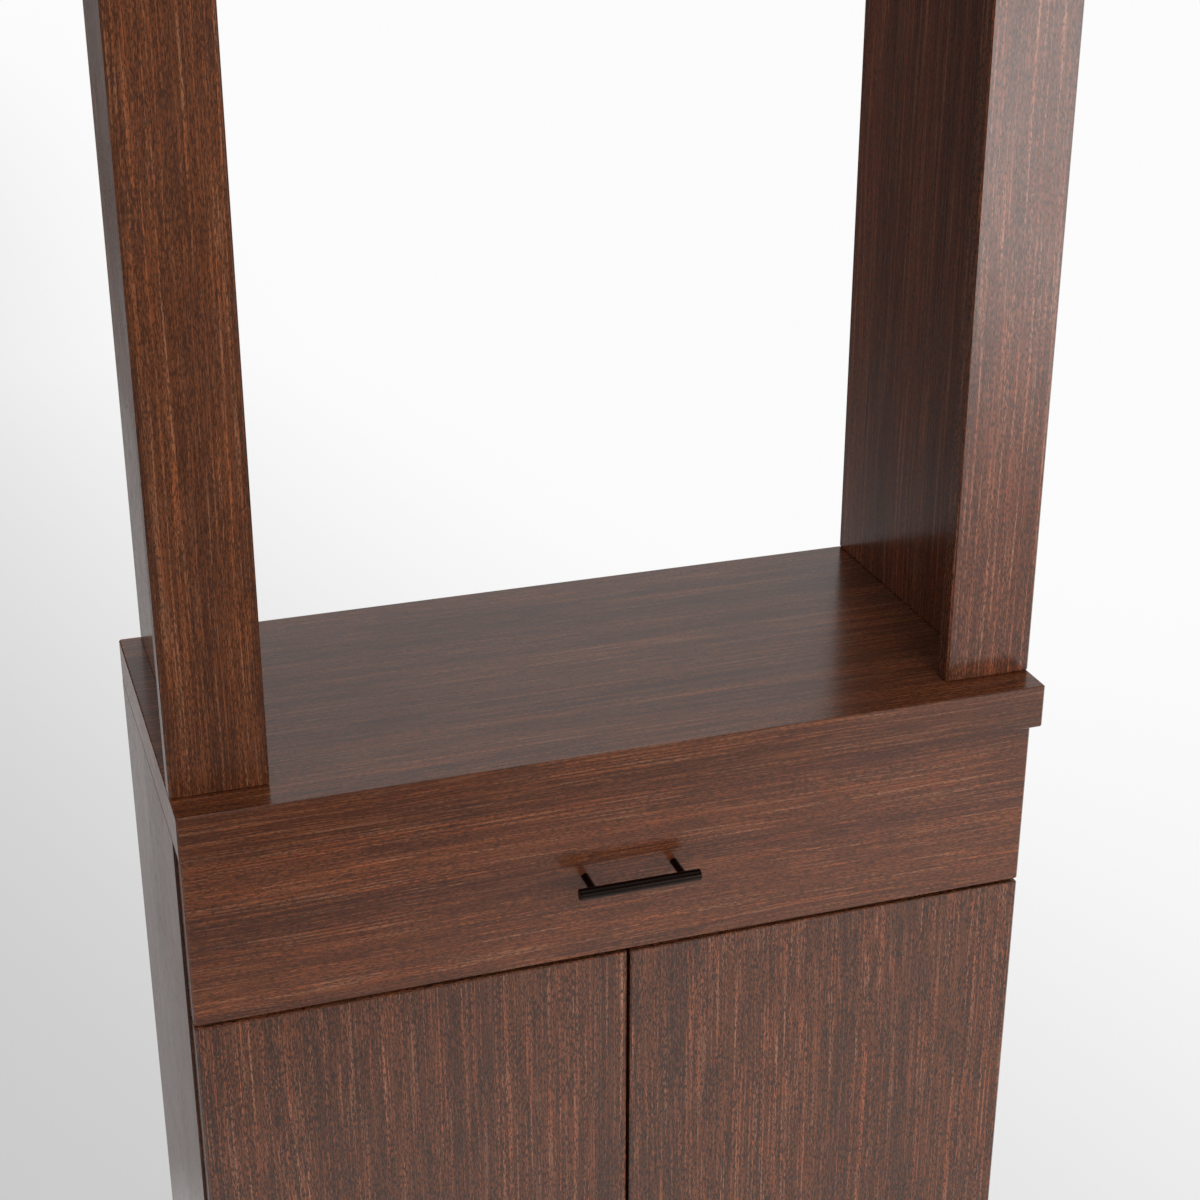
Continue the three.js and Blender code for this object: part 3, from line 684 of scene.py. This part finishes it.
class Head(Enum):
    """The kinds of screw head."""

    RAISED = HeadShape(3.5, 0.9, 0.15)
    PAN = HeadShape(3.4, 1.5, 0.8)


@dataclass(frozen=True)
class Screw:
    """One kind of screw: its head, its plating, and its size beside the usual head."""

    head: Head
    plating: Metal
    size: float = 1.0


def add(name: str, data: bpy.types.ID | bmesh.types.BMesh) -> Piece:
    """Adds an object to the scene.

    Args:
        name: The object's name.
        data: Its mesh, lens or lamp. A mesh in the making is finished and used up.

    Returns:
        The object.
    """
    if isinstance(data, bmesh.types.BMesh):
        making, data = data, bpy.data.meshes.new(name)
        making.to_mesh(data)
        making.free()
    made = bpy.data.objects.new(name, data)
    bpy.context.scene.collection.objects.link(made)
    return made


@dataclass(frozen=True)
class Shaping:
    """Softens the edges of the boards and fittings and shades their rounds smoothly."""

    angle: float = math.radians(28)
    weld: float = 0.01 * MM
    segments: int = 2

    @cache
    def smooth_tree(self) -> Tree:
        """Joins the faces of a mesh and shades it smooth up to the angle.

        Returns:
            The modifier's node group.
        """
        tree = bpy.data.node_groups.new("smooth_rounds", "GeometryNodeTree")
        for way in ("INPUT", "OUTPUT"):
            tree.interface.new_socket(name="Mesh", in_out=way, socket_type="NodeSocketGeometry")
        nodes, links = tree.nodes, tree.links
        source, result = nodes.new("NodeGroupInput"), nodes.new("NodeGroupOutput")
        merge = nodes.new("GeometryNodeMergeByDistance")
        merge.inputs["Distance"].default_value = self.weld
        angle = nodes.new("GeometryNodeInputMeshEdgeAngle")
        sharp = nodes.new("FunctionNodeCompare")
        sharp.inputs["B"].default_value = self.angle
        normals = nodes.new("GeometryNodeSetMeshNormal")
        normals.inputs["Remove Custom"].default_value = True
        links.new(source.outputs[0], merge.inputs["Geometry"])
        links.new(merge.outputs[0], normals.inputs["Mesh"])
        links.new(angle.outputs["Unsigned Angle"], sharp.inputs["A"])
        links.new(sharp.outputs[0], normals.inputs["Edge Sharpness"])
        links.new(normals.outputs[0], result.inputs[0])
        return tree

    def soften(self, piece: Piece, width: float) -> None:
        """Rounds a piece's edges.

        Args:
            piece: The piece.
            width: How wide the rounding is, in metres, or 0 for none.
        """
        smooth = piece.modifiers.new("smooth_rounds", "NODES")
        smooth.node_group = self.smooth_tree()
        if width > 0:
            bevel = piece.modifiers.new("soft_arris", "BEVEL")
            bevel.width = width
            bevel.segments = self.segments
            bevel.limit_method = "ANGLE"
            bevel.angle_limit = self.angle
            bevel.harden_normals = True


@dataclass(frozen=True)
class ScrewHeads:
    """Makes cross-recessed screw heads, each kind once. Its sizes are in millimetres."""

    crown_angles: tuple[float, ...] = (0.0, 0.35, 0.7, 1.05, 1.35)
    steps: int = 28
    recess_width: float = 0.9
    recess_span: float = 3.8
    recess_depth: float = 0.8

    def blank(self, shape: HeadShape) -> bmesh.types.BMesh:
        """Turns a head without its recess, its foot on the XY plane and its crown up along Z.

        Args:
            shape: Its profile.

        Returns:
            The mesh.
        """
        profile = [(shape.radius, 0.0)]
        for angle in self.crown_angles:
            profile.append((shape.radius * math.cos(angle), shape.rim + shape.crown * math.sin(angle)))
        turns = [step * math.tau / self.steps for step in range(self.steps)]
        mesh = bmesh.new()
        rings = [
            [mesh.verts.new((reach * math.cos(turn), reach * math.sin(turn), high)) for turn in turns]
            for reach, high in profile
        ]
        for low, high in zip(rings, rings[1:]):
            for here in range(self.steps):
                there = (here + 1) % self.steps
                mesh.faces.new((low[here], low[there], high[there], high[here]))
        mesh.faces.new(rings[-1])
        mesh.faces.new(list(reversed(rings[0])))
        return mesh

    def punch(self, top: float) -> bmesh.types.BMesh:
        """Makes the cross that cuts the recess.

        Args:
            top: The height of the head's top.

        Returns:
            The mesh.
        """
        mesh = bmesh.new()
        for across, along in ((self.recess_width, self.recess_span), (self.recess_span, self.recess_width)):
            bar = Matrix.Translation((0, 0, top)) @ Matrix.Diagonal((across, along, 2 * self.recess_depth, 1))
            bmesh.ops.create_cube(mesh, size=1.0, matrix=bar)
        return mesh

    @cache
    def head(self, kind: Head) -> bpy.types.Mesh:
        """Makes a kind of head.

        Args:
            kind: The kind.

        Returns:
            The mesh, in metres.
        """
        shape = kind.value
        head = add("head_blank", self.blank(shape))
        tool = add("cross_punch", self.punch(shape.rim + shape.crown))
        recess = head.modifiers.new("recess", "BOOLEAN")
        recess.operation = "DIFFERENCE"
        recess.object = tool
        recess.use_self = True
        bpy.context.view_layer.update()
        cut = bpy.data.meshes.new_from_object(head.evaluated_get(bpy.context.evaluated_depsgraph_get()))
        cut.name = f"{kind.name.lower()}_head"
        cut.transform(Matrix.Scale(MM, 4))
        for piece in (head, tool):
            data = piece.data
            bpy.data.objects.remove(piece)
            bpy.data.meshes.remove(data)
        return cut


@dataclass
class Workshop:
    """Dresses CAD nodes and sets small fasteners."""

    shaping: Shaping = Shaping()
    heads: ScrewHeads = ScrewHeads()
    turn_between_screws: float = 0.7
    screws_set: int = 0

    def dress(self, node: str, material: Material, arris: float = ARRIS) -> None:
        """Gives a CAD node its finish and soft edges.

        Args:
            node: The node's name.
            material: Its finish.
            arris: The width of its softened edges, in metres.
        """
        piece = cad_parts[node]
        for place in piece.material_slots:
            place.material = material
        self.shaping.soften(piece, arris)
        log.info("dressed %s", node)

    def screw(self, name: str, kind: Screw, place: Point, facing: Point, body: str) -> None:
        """Sets a screw head on a surface.

        Args:
            name: The piece's name.
            kind: The kind of screw.
            place: The middle of its seat, in metres.
            facing: The way that the head faces.
            body: The body that it moves with.
        """
        self.screws_set += 1
        data = self.heads.head(kind.head).copy()
        data.materials.clear()
        data.materials.append(kind.plating.dress())
        spin = Matrix.Rotation(self.turn_between_screws * self.screws_set, 4, "Z")
        turn = Vector((0, 0, 1)).rotation_difference(Vector(facing)).to_matrix().to_4x4()
        data.transform(Matrix.Translation(place) @ turn @ spin @ Matrix.Scale(kind.size, 4))
        made = add(name, data)
        self.shaping.soften(made, 0.0)
        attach(made, body)
        log.info("set %s", name)


@dataclass
class Carcass:
    """The base: sides, bottom, back, rails, toe kick, and a shelf on four pins."""

    shop: Workshop
    first_sheet: int = 1
    pin_arris: float = 0.15 * MM
    rail_screw: Screw = Screw(Head.PAN, ZINC, 1.2)
    rail_screws: tuple[float, ...] = (-0.26, 0.0, 0.26)

    def build(self) -> None:
        """Dresses the carcass and adds its screws."""
        uprights = ("side_left", "side_right", "back_panel")
        levels = ("bottom_panel", "top_rail_front", "top_rail_rear", "divider_rail", "toe_kick", "shelf")
        boards = [(name, UPRIGHT_VENEER) for name in uprights] + [(name, LEVEL_VENEER) for name in levels]
        for number, (name, veneer) in enumerate(boards, start=self.first_sheet):
            self.shop.dress(name, veneer.dress(name, number))
        for row in ("front", "rear"):
            for side in Side:
                self.shop.dress(f"shelf_pin_{row}_{side}", NICKEL.dress(), self.pin_arris)
        self.fix_rails()

    def fix_rails(self) -> None:
        """Sets the screws that hold the counter, from below through the top rails."""
        for name in ("top_rail_front", "top_rail_rear"):
            low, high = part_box(name)
            for number, x in enumerate(self.rail_screws):
                spot = (x, (low.y + high.y) / 2, low.z)
                self.shop.screw(f"{name}_screw_{number}", self.rail_screw, spot, (0, 0, -1), "cabinet")


@dataclass
class Uprights:
    """The counter, the two uprights on it, the header rails and the top."""

    shop: Workshop
    first_sheet: int = 21

    def build(self) -> None:
        """Dresses the boards."""
        levels = ("countertop", "header_rail_front", "header_rail_rear", "top_panel")
        boards = [(name, LEVEL_VENEER) for name in levels]
        # The right stile gets the copy of the veneer with painted light on it.
        boards += [("stile_left", UPRIGHT_VENEER), ("stile_right", PAINTED_LIGHT_STILE_VENEER)]
        boards += [("upright_panel_left", UPRIGHT_VENEER), ("upright_panel_right", RED_VENEER)]
        for number, (name, veneer) in enumerate(boards, start=self.first_sheet):
            self.shop.dress(name, veneer.dress(name, number))


@dataclass
class Drawer:
    """The drawer: its veneered front, its dovetailed box and its bottom."""

    shop: Workshop
    sheet: int = 41
    box_arris: float = 0.2 * MM
    front_screw: Screw = Screw(Head.PAN, ZINC, 1.2)
    screw_reach: float = 0.24
    screw_rise: float = 0.028

    def build(self) -> None:
        """Dresses the boards and adds the screws between the box and the front."""
        self.shop.dress("drawer_front", DRAWER_VENEER.dress("drawer_front", self.sheet))
        parts = ("box_front", "box_back", "box_side_left", "box_side_right", "bottom")
        for number, part in enumerate(parts, start=1):
            name, lay = f"drawer_{part}", Lay.DEEP if "side" in part else Lay.LEVEL
            self.shop.dress(name, BoxWood(lay).dress(name, number), self.box_arris)
        self.fix_front()

    def fix_front(self) -> None:
        """Sets the screws that hold the front, from inside the box."""
        low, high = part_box("drawer_box_front")
        middle = (low.z + high.z) / 2
        for side in Side:
            for row, rise in (("low", -self.screw_rise), ("high", self.screw_rise)):
                spot = (side.outward * self.screw_reach, high.y, middle + rise)
                self.shop.screw(f"front_screw_{row}_{side}", self.front_screw, spot, (0, 1, 0), "drawer")


@dataclass
class Pull:
    """The round bar pull on two posts, with its screws inside the drawer."""

    shop: Workshop
    screw_arris: float = 0.1 * MM

    def build(self) -> None:
        """Dresses the pull."""
        self.shop.dress("pull_bar", BRONZE.dress())
        for side in Side:
            self.shop.dress(f"pull_post_{side}", BRONZE.dress(), 0.0)
            self.shop.dress(f"pull_screw_{side}", ZINC.dress(), self.screw_arris)


@dataclass
class Slides:
    """Two telescopic drawer slides of three members each."""

    shop: Workshop
    steel: float = 1.2 * MM
    screw: Screw = Screw(Head.RAISED, NICKEL, 0.9)
    screw_places: tuple[float, ...] = (0.035, 0.125, 0.215)

    def build(self) -> None:
        """Dresses the members and sets the screws that hold the inner ones to the drawer box."""
        for side in Side:
            for member in ("outer", "middle", "inner"):
                self.shop.dress(f"slide_{member}_{side}", ZINC.dress())
            low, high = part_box(f"slide_inner_{side}")
            web = high.x if side is Side.LEFT else low.x
            for number, along in enumerate(self.screw_places):
                spot = (web + side.outward * self.steel, low.y + along, (low.z + high.z) / 2)
                facing = (side.outward, 0, 0)
                self.shop.screw(f"slide_screw_{number}_{side}", self.screw, spot, facing, "drawer")


@dataclass
class Doors:
    """Two doors, each on two cup hinges, with a strike plate for its latch."""

    shop: Workshop
    first_sheet: int = 51
    fitting_arris: float = 0.15 * MM
    cup_screw: Screw = Screw(Head.RAISED, NICKEL, 0.82)
    cup_screw_rise: float = 0.019
    plate_screw: Screw = Screw(Head.RAISED, NICKEL, 0.95)
    plate_screw_rise: float = 0.017
    plate_screw_from_rear: float = 23 * MM
    plate_thickness: float = 2.5 * MM
    arm_screw: Screw = Screw(Head.PAN, NICKEL)
    arm_screws_from_rear: tuple[float, ...] = (10 * MM, 30 * MM)

    def build(self) -> None:
        """Dresses the doors and their hinges and sets the hinges' screws."""
        for number, side in enumerate(Side, start=self.first_sheet):
            door = f"door_{side}"
            self.shop.dress(door, DOOR_VENEER.dress(door, number))
            self.shop.dress(f"strike_plate_{side}", ZINC.dress(), self.fitting_arris)
            for level in ("upper", "lower"):
                for part in ("cup", "arm"):
                    self.shop.dress(f"hinge_{part}_{level}_{side}", NICKEL.dress(), self.fitting_arris)
                self.fix_hinge(level, side)

    def fix_hinge(self, level: str, side: Side) -> None:
        """Sets two screws each in a hinge's cup, its plate and its arm.

        Args:
            level: Upper or lower.
            side: Left or right.
        """
        low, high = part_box(f"hinge_cup_{level}_{side}")
        x, z = (low.x + high.x) / 2, (low.z + high.z) / 2
        for number, rise in enumerate((-self.cup_screw_rise, self.cup_screw_rise)):
            name = f"cup_screw_{level}_{number}_{side}"
            self.shop.screw(name, self.cup_screw, (x, high.y, z + rise), (0, 1, 0), f"door_{side}")
        low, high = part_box(f"hinge_arm_{level}_{side}")
        wall, web = (low.x, high.x) if side is Side.LEFT else (high.x, low.x)
        x, y, z = wall - side.outward * self.plate_thickness, high.y, (low.z + high.z) / 2
        inward = (-side.outward, 0, 0)
        for number, rise in enumerate((-self.plate_screw_rise, self.plate_screw_rise)):
            spot = (x, y - self.plate_screw_from_rear, z + rise)
            name = f"plate_screw_{level}_{number}_{side}"
            self.shop.screw(name, self.plate_screw, spot, inward, "cabinet")
        for number, back in enumerate(self.arm_screws_from_rear):
            name = f"arm_screw_{level}_{number}_{side}"
            self.shop.screw(name, self.arm_screw, (web, y - back, z), inward, "cabinet")


@dataclass
class Latches:
    """Two push latches under the divider rail."""

    shop: Workshop
    body_arris: float = 0.25 * MM
    ear_thickness: float = 2 * MM
    ear_screw: Screw = Screw(Head.PAN, ZINC, 0.75)
    ear_screw_reach: float = 0.013

    def build(self) -> None:
        """Dresses the latches and sets the screws in their ears."""
        for side in Side:
            self.shop.dress(f"latch_body_{side}", PLASTIC.dress(), self.body_arris)
            self.shop.dress(f"latch_plunger_{side}", PLASTIC.dress(), 0.0)
            low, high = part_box(f"latch_body_{side}")
            x, y, z = (low.x + high.x) / 2, (low.y + high.y) / 2, high.z - self.ear_thickness
            for number, reach in enumerate((-self.ear_screw_reach, self.ear_screw_reach)):
                name = f"latch_screw_{number}_{side}"
                self.shop.screw(name, self.ear_screw, (x + reach, y, z), (0, 0, -1), "cabinet")


@dataclass(frozen=True)
class Camera:
    """The camera, at the photograph's place and angle."""

    place: Point = (-0.5117, -1.6145, 1.7176)
    heading: float = math.radians(18.312)
    tilt: float = math.radians(23.671)
    lens: float = 66.27
    sensor: float = 36.0
    nearest: float = 0.02
    farthest: float = 60.0

    def build(self) -> None:
        """Places the camera."""
        lens = bpy.data.cameras.new("camera")
        lens.lens = self.lens
        lens.sensor_width = self.sensor
        lens.clip_start = self.nearest
        lens.clip_end = self.farthest
        camera = add("camera", lens)
        camera.location = self.place
        camera.rotation_euler = (math.pi / 2 - self.tilt, 0.0, -self.heading)
        bpy.context.scene.camera = camera


@dataclass(frozen=True)
class Fade:
    """A value that eases from low to high between two places or tones."""

    start: float
    end: float
    low: float = 0.0
    high: float = 1.0

    def over(self, wiring: Wiring, value: Value) -> Socket:
        """Adds the fade."""
        return wiring.ramp(value, self.start, self.end, self.low, self.high)


class FloorWiring(Wiring):
    """Wiring for the floor, with the place on it, its X and Y, its way to front or back, and its distance."""

    def __init__(self, tree: Tree) -> None:
        """Starts on a tree.

        Args:
            tree: The tree to work in.
        """
        super().__init__(tree)
        self.place = self.node("ShaderNodeTexCoord").outputs["Object"]
        self.x, self.y, _ = self.split(self.place)
        self.off = self.maths("ABSOLUTE", self.y)
        self.distance = self.vector("LENGTH", self.place)


@dataclass(frozen=True)
class Slant:
    """A slanted line on the floor, where X plus a share of the way to front or back is start to end."""

    lean: float
    start: float
    end: float

    def across(self, wiring: FloorWiring, low: float, high: Value) -> Socket:
        """Adds a tone that fades from low to high across the line."""
        spot = wiring.maths("MULTIPLY_ADD", wiring.off, self.lean, wiring.x)
        return wiring.ramp(spot, self.start, self.end, low, high)


@dataclass(frozen=True)
class Floor:
    """A round pale floor, greyer to the left of the cabinet, where a shadow of the cabinet is painted on it.

    In reflections it shows a painted reflection tone: pale to the right and to the front left, painted dark
    elsewhere, but for a paler streak along the cabinet's left side.
    """

    reach: float = 15.0
    steps: int = 96
    drop: float = 0.5 * MM
    pale: float = 0.97
    dark: float = 0.02
    # The painted shadow is greyest along this line of X, beside the cabinet's left side, and pales with
    # distance from it and to the front and back.
    grey_line: float = -0.55
    share_of_depth: float = 0.25
    most_depth: float = 4.0
    seen: Fade = Fade(-0.35, 2.15, 0.56, 0.97)
    far: Fade = Fade(5.0, 11.0)
    # The painted reflection tone: dark in most reflections, pale to the right and to the front left, with a
    # paler streak along the cabinet's left side.
    lean_ahead: float = 1.5
    lean_behind: float = -2.6
    front_left: Fade = Fade(-2.6, -1.3, 0.02, 0.97)
    right: Slant = Slant(-0.12, 0.55, 1.1)
    left: Slant = Slant(0.3, 0.08, -0.1)
    left_tone: Fade = Fade(1.5, 3.4, 0.33, 0.08)
    streak: Slant = Slant(0.1, -0.1, -0.25)
    streak_edge: Slant = Slant(0.2, -0.3, -0.2)
    streak_near: Fade = Fade(0.8, 1.8, 0.31, 0.5)
    streak_far: Fade = Fade(2.6, 5.8, 0.5, 0.28)
    own_light: Fade = Fade(0.6, 2.6, 0.8, 1.0)
    greys: tuple[float, float] = (0.66, 0.7)
    grain: Marks = Marks(1 / 60, 1 / 60, detail=3.0, roughness=0.6)

    def build(self) -> None:
        """Lays the floor."""
        mesh = bmesh.new()
        bmesh.ops.create_circle(mesh, cap_ends=True, radius=self.reach, segments=self.steps)
        floor = add("floor", mesh)
        floor.location.z = -self.drop
        floor.data.materials.append(self.coat())

    def seen_tone(self, wiring: FloorWiring) -> Socket:
        """Works out the floor's tone as the camera sees it, with a painted shadow of the cabinet that is
        greyest beside its left side and fades away from there.

        Args:
            wiring: The coat's wiring.

        Returns:
            The tone.
        """
        # Painted shadow: grey beside the cabinet's left side, paler away from it, pale far off.
        depth = wiring.maths("MINIMUM", wiring.off, self.most_depth)
        across = wiring.maths("ABSOLUTE", wiring.maths("SUBTRACT", wiring.x, self.grey_line))
        tone = self.seen.over(wiring, wiring.maths("MULTIPLY_ADD", depth, self.share_of_depth, across))
        return wiring.blend(self.far.over(wiring, wiring.distance), tone, self.pale, Kind.NUMBER)

    def mirrored_tone(self, wiring: FloorWiring) -> Socket:
        """Works out the floor's painted reflection tone, which glossy rays see in place of its own pale tone.

        Args:
            wiring: The coat's wiring.

        Returns:
            The tone.
        """
        leans = (wiring.maths("MULTIPLY", wiring.y, lean) for lean in (self.lean_ahead, self.lean_behind))
        tone = self.front_left.over(wiring, wiring.maths("ADD", wiring.x, wiring.maths("MINIMUM", *leans)))
        dim, near, far = (
            fade.over(wiring, wiring.distance) for fade in (self.left_tone, self.streak_near, self.streak_far)
        )
        streak = self.streak.across(wiring, self.dark, wiring.maths("MINIMUM", near, far))
        for slant, bright in ((self.right, self.pale), (self.left, dim), (self.streak_edge, streak)):
            tone = wiring.maths("MAXIMUM", tone, slant.across(wiring, self.dark, bright))
        return tone

    def coat(self) -> Material:
        """Makes the floor's coat: lit for the shadow near the cabinet, with a light of its own for the rest.
        That light shows a painted shadow to the camera and a painted reflection tone to glossy rays.

        Returns:
            The material.
        """
        material = bpy.data.materials.new("floor_paint")
        material.use_nodes = True
        material.node_tree.nodes.clear()
        wiring = FloorWiring(material.node_tree)
        ray = wiring.node("ShaderNodeLightPath").outputs
        # Glossy rays see the painted reflection tone; camera and transmission rays see the tone with the
        # painted shadow.
        mirrored = self.mirrored_tone(wiring)
        tone = wiring.blend(ray["Is Glossy Ray"], self.seen_tone(wiring), mirrored, Kind.NUMBER)
        direct = wiring.maths("MAXIMUM", ray["Is Camera Ray"], ray["Is Glossy Ray"])
        direct = wiring.maths("MAXIMUM", direct, ray["Is Transmission Ray"])
        greys = [(grey, grey, grey, 1.0) for grey in self.greys]
        grain = wiring.blend(self.grain.noise(wiring, wiring.place), *greys)
        lit = wiring.feed_all(wiring.node("ShaderNodeBsdfDiffuse"), grain)
        grey = wiring.feed_all(wiring.node("ShaderNodeCombineColor"), tone, tone, tone)
        glow = wiring.feed_all(wiring.node("ShaderNodeEmission"), grey[0])
        share = wiring.maths("MULTIPLY", direct, self.own_light.over(wiring, wiring.distance))
        coat = wiring.feed_all(wiring.node("ShaderNodeMixShader"), share, lit[0], glow[0])
        wiring.feed_all(wiring.node("ShaderNodeOutputMaterial"), coat[0])
        return material


@dataclass(frozen=True)
class Room:
    """The room: white to the camera, brighter to the right rear in reflections, and even for the rest."""

    seen: float = 0.97
    even: float = 0.39
    bright_way: Point = (0.85, 0.45, 0.3)
    mirrored: Fade = Fade(0.0, 0.7, 0.04, 0.69)

    def build(self) -> None:
        """Makes the room."""
        world = bpy.data.worlds.new("room")
        bpy.context.scene.world = world
        world.use_nodes = True
        world.node_tree.nodes.clear()
        wiring = Wiring(world.node_tree)
        way = wiring.node("ShaderNodeTexCoord").outputs["Generated"]
        shine = self.mirrored.over(wiring, wiring.vector("DOT_PRODUCT", way, self.bright_way))
        ray = wiring.node("ShaderNodeLightPath").outputs
        strength = wiring.blend(ray["Is Glossy Ray"], self.even, shine, Kind.NUMBER)
        direct = wiring.maths("MAXIMUM", ray["Is Camera Ray"], ray["Is Transmission Ray"])
        strength = wiring.blend(direct, strength, self.seen, Kind.NUMBER)
        glow = wiring.feed_all(wiring.node("ShaderNodeBackground"), WHITE, strength)
        wiring.feed_all(wiring.node("ShaderNodeOutputWorld"), glow[0])


@dataclass(frozen=True)
class Lamp:
    """A soft box that is brightest in its middle. Its power is as if it were as bright all over."""

    name: str
    place: Point
    aim: Point
    wide: float
    high: float
    watts: float
    mirrored: bool = True
    even_share: float = 0.5

    def build(self) -> None:
        """Hangs the lamp."""
        lamp = bpy.data.lights.new(self.name, "AREA")
        lamp.shape = "RECTANGLE"
        lamp.size = self.wide
        lamp.size_y = self.high
        lamp.energy = self.watts
        turn = (Vector(self.aim) - Vector(self.place)).to_track_quat("-Z", "Y")
        lamp.use_nodes = True
        lamp.node_tree.nodes.clear()
        wiring = Wiring(lamp.node_tree)
        spot = wiring.node("ShaderNodeNewGeometry").outputs["Position"]
        off = wiring.vector("SUBTRACT", spot, self.place)
        bright: Value = 1.0
        for axis, reach in (((1, 0, 0), self.wide / 2), ((0, 1, 0), self.high / 2)):
            away = wiring.maths("ABSOLUTE", wiring.vector("DOT_PRODUCT", off, turn @ Vector(axis)))
            edge = wiring.ramp(away, self.even_share * reach, reach, 1.0, 0.0)
            bright = wiring.maths("MULTIPLY", bright, edge)
        glow = wiring.feed_all(wiring.node("ShaderNodeEmission"), strength=bright)
        wiring.feed_all(wiring.node("ShaderNodeOutputLight"), glow[0])
        hung = add(self.name, lamp)
        hung.location = self.place
        hung.rotation_euler = turn.to_euler()
        hung.visible_camera = False
        hung.visible_glossy = self.mirrored


@dataclass(frozen=True)
class Studio:
    """The camera, the floor, the room and the lamps."""

    middle: Point = (0.0, 0.0, 0.9)
    counter: Point = (0.0, 0.0, 1.0)
    drawer: Point = (0.0, 0.0, 0.8)

    def build(self) -> None:
        """Sets up the whole studio."""
        lamps = (
            Lamp("key_lamp", (2.0, -2.7, 1.04), self.counter, 2.0, 2.15, 58.0),
            Lamp("top_lamp", (-0.4, -0.5, 3.6), self.middle, 2.2, 2.2, 26.0),
            Lamp("small_lamp", (1.05, -3.1, 1.05), self.drawer, 0.4, 0.7, 5.0),
            Lamp("front_lamp", (0.4, -3.4, 2.3), self.middle, 2.0, 1.6, 112.0, mirrored=False),
            Lamp("back_lamp", (1.1, 2.7, 1.9), self.middle, 2.0, 2.0, 60.0, mirrored=False),
            Lamp("left_lamp", (-2.6, 0.3, 1.6), self.middle, 1.6, 1.6, 36.0, mirrored=False),
        )
        for item in (Camera(), Floor(), Room(), *lamps):
            item.build()


def main() -> None:
    """Builds the studio and every part of the cabinet."""
    logging.basicConfig(level=logging.INFO, format="%(message)s")
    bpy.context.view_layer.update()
    bpy.context.scene.view_settings.view_transform = "Standard"
    Studio().build()
    shop = Workshop()
    for assembly in (Carcass, Uprights, Drawer, Pull, Slides, Doors, Latches):
        assembly(shop).build()


if __name__ == "__main__":
    main()
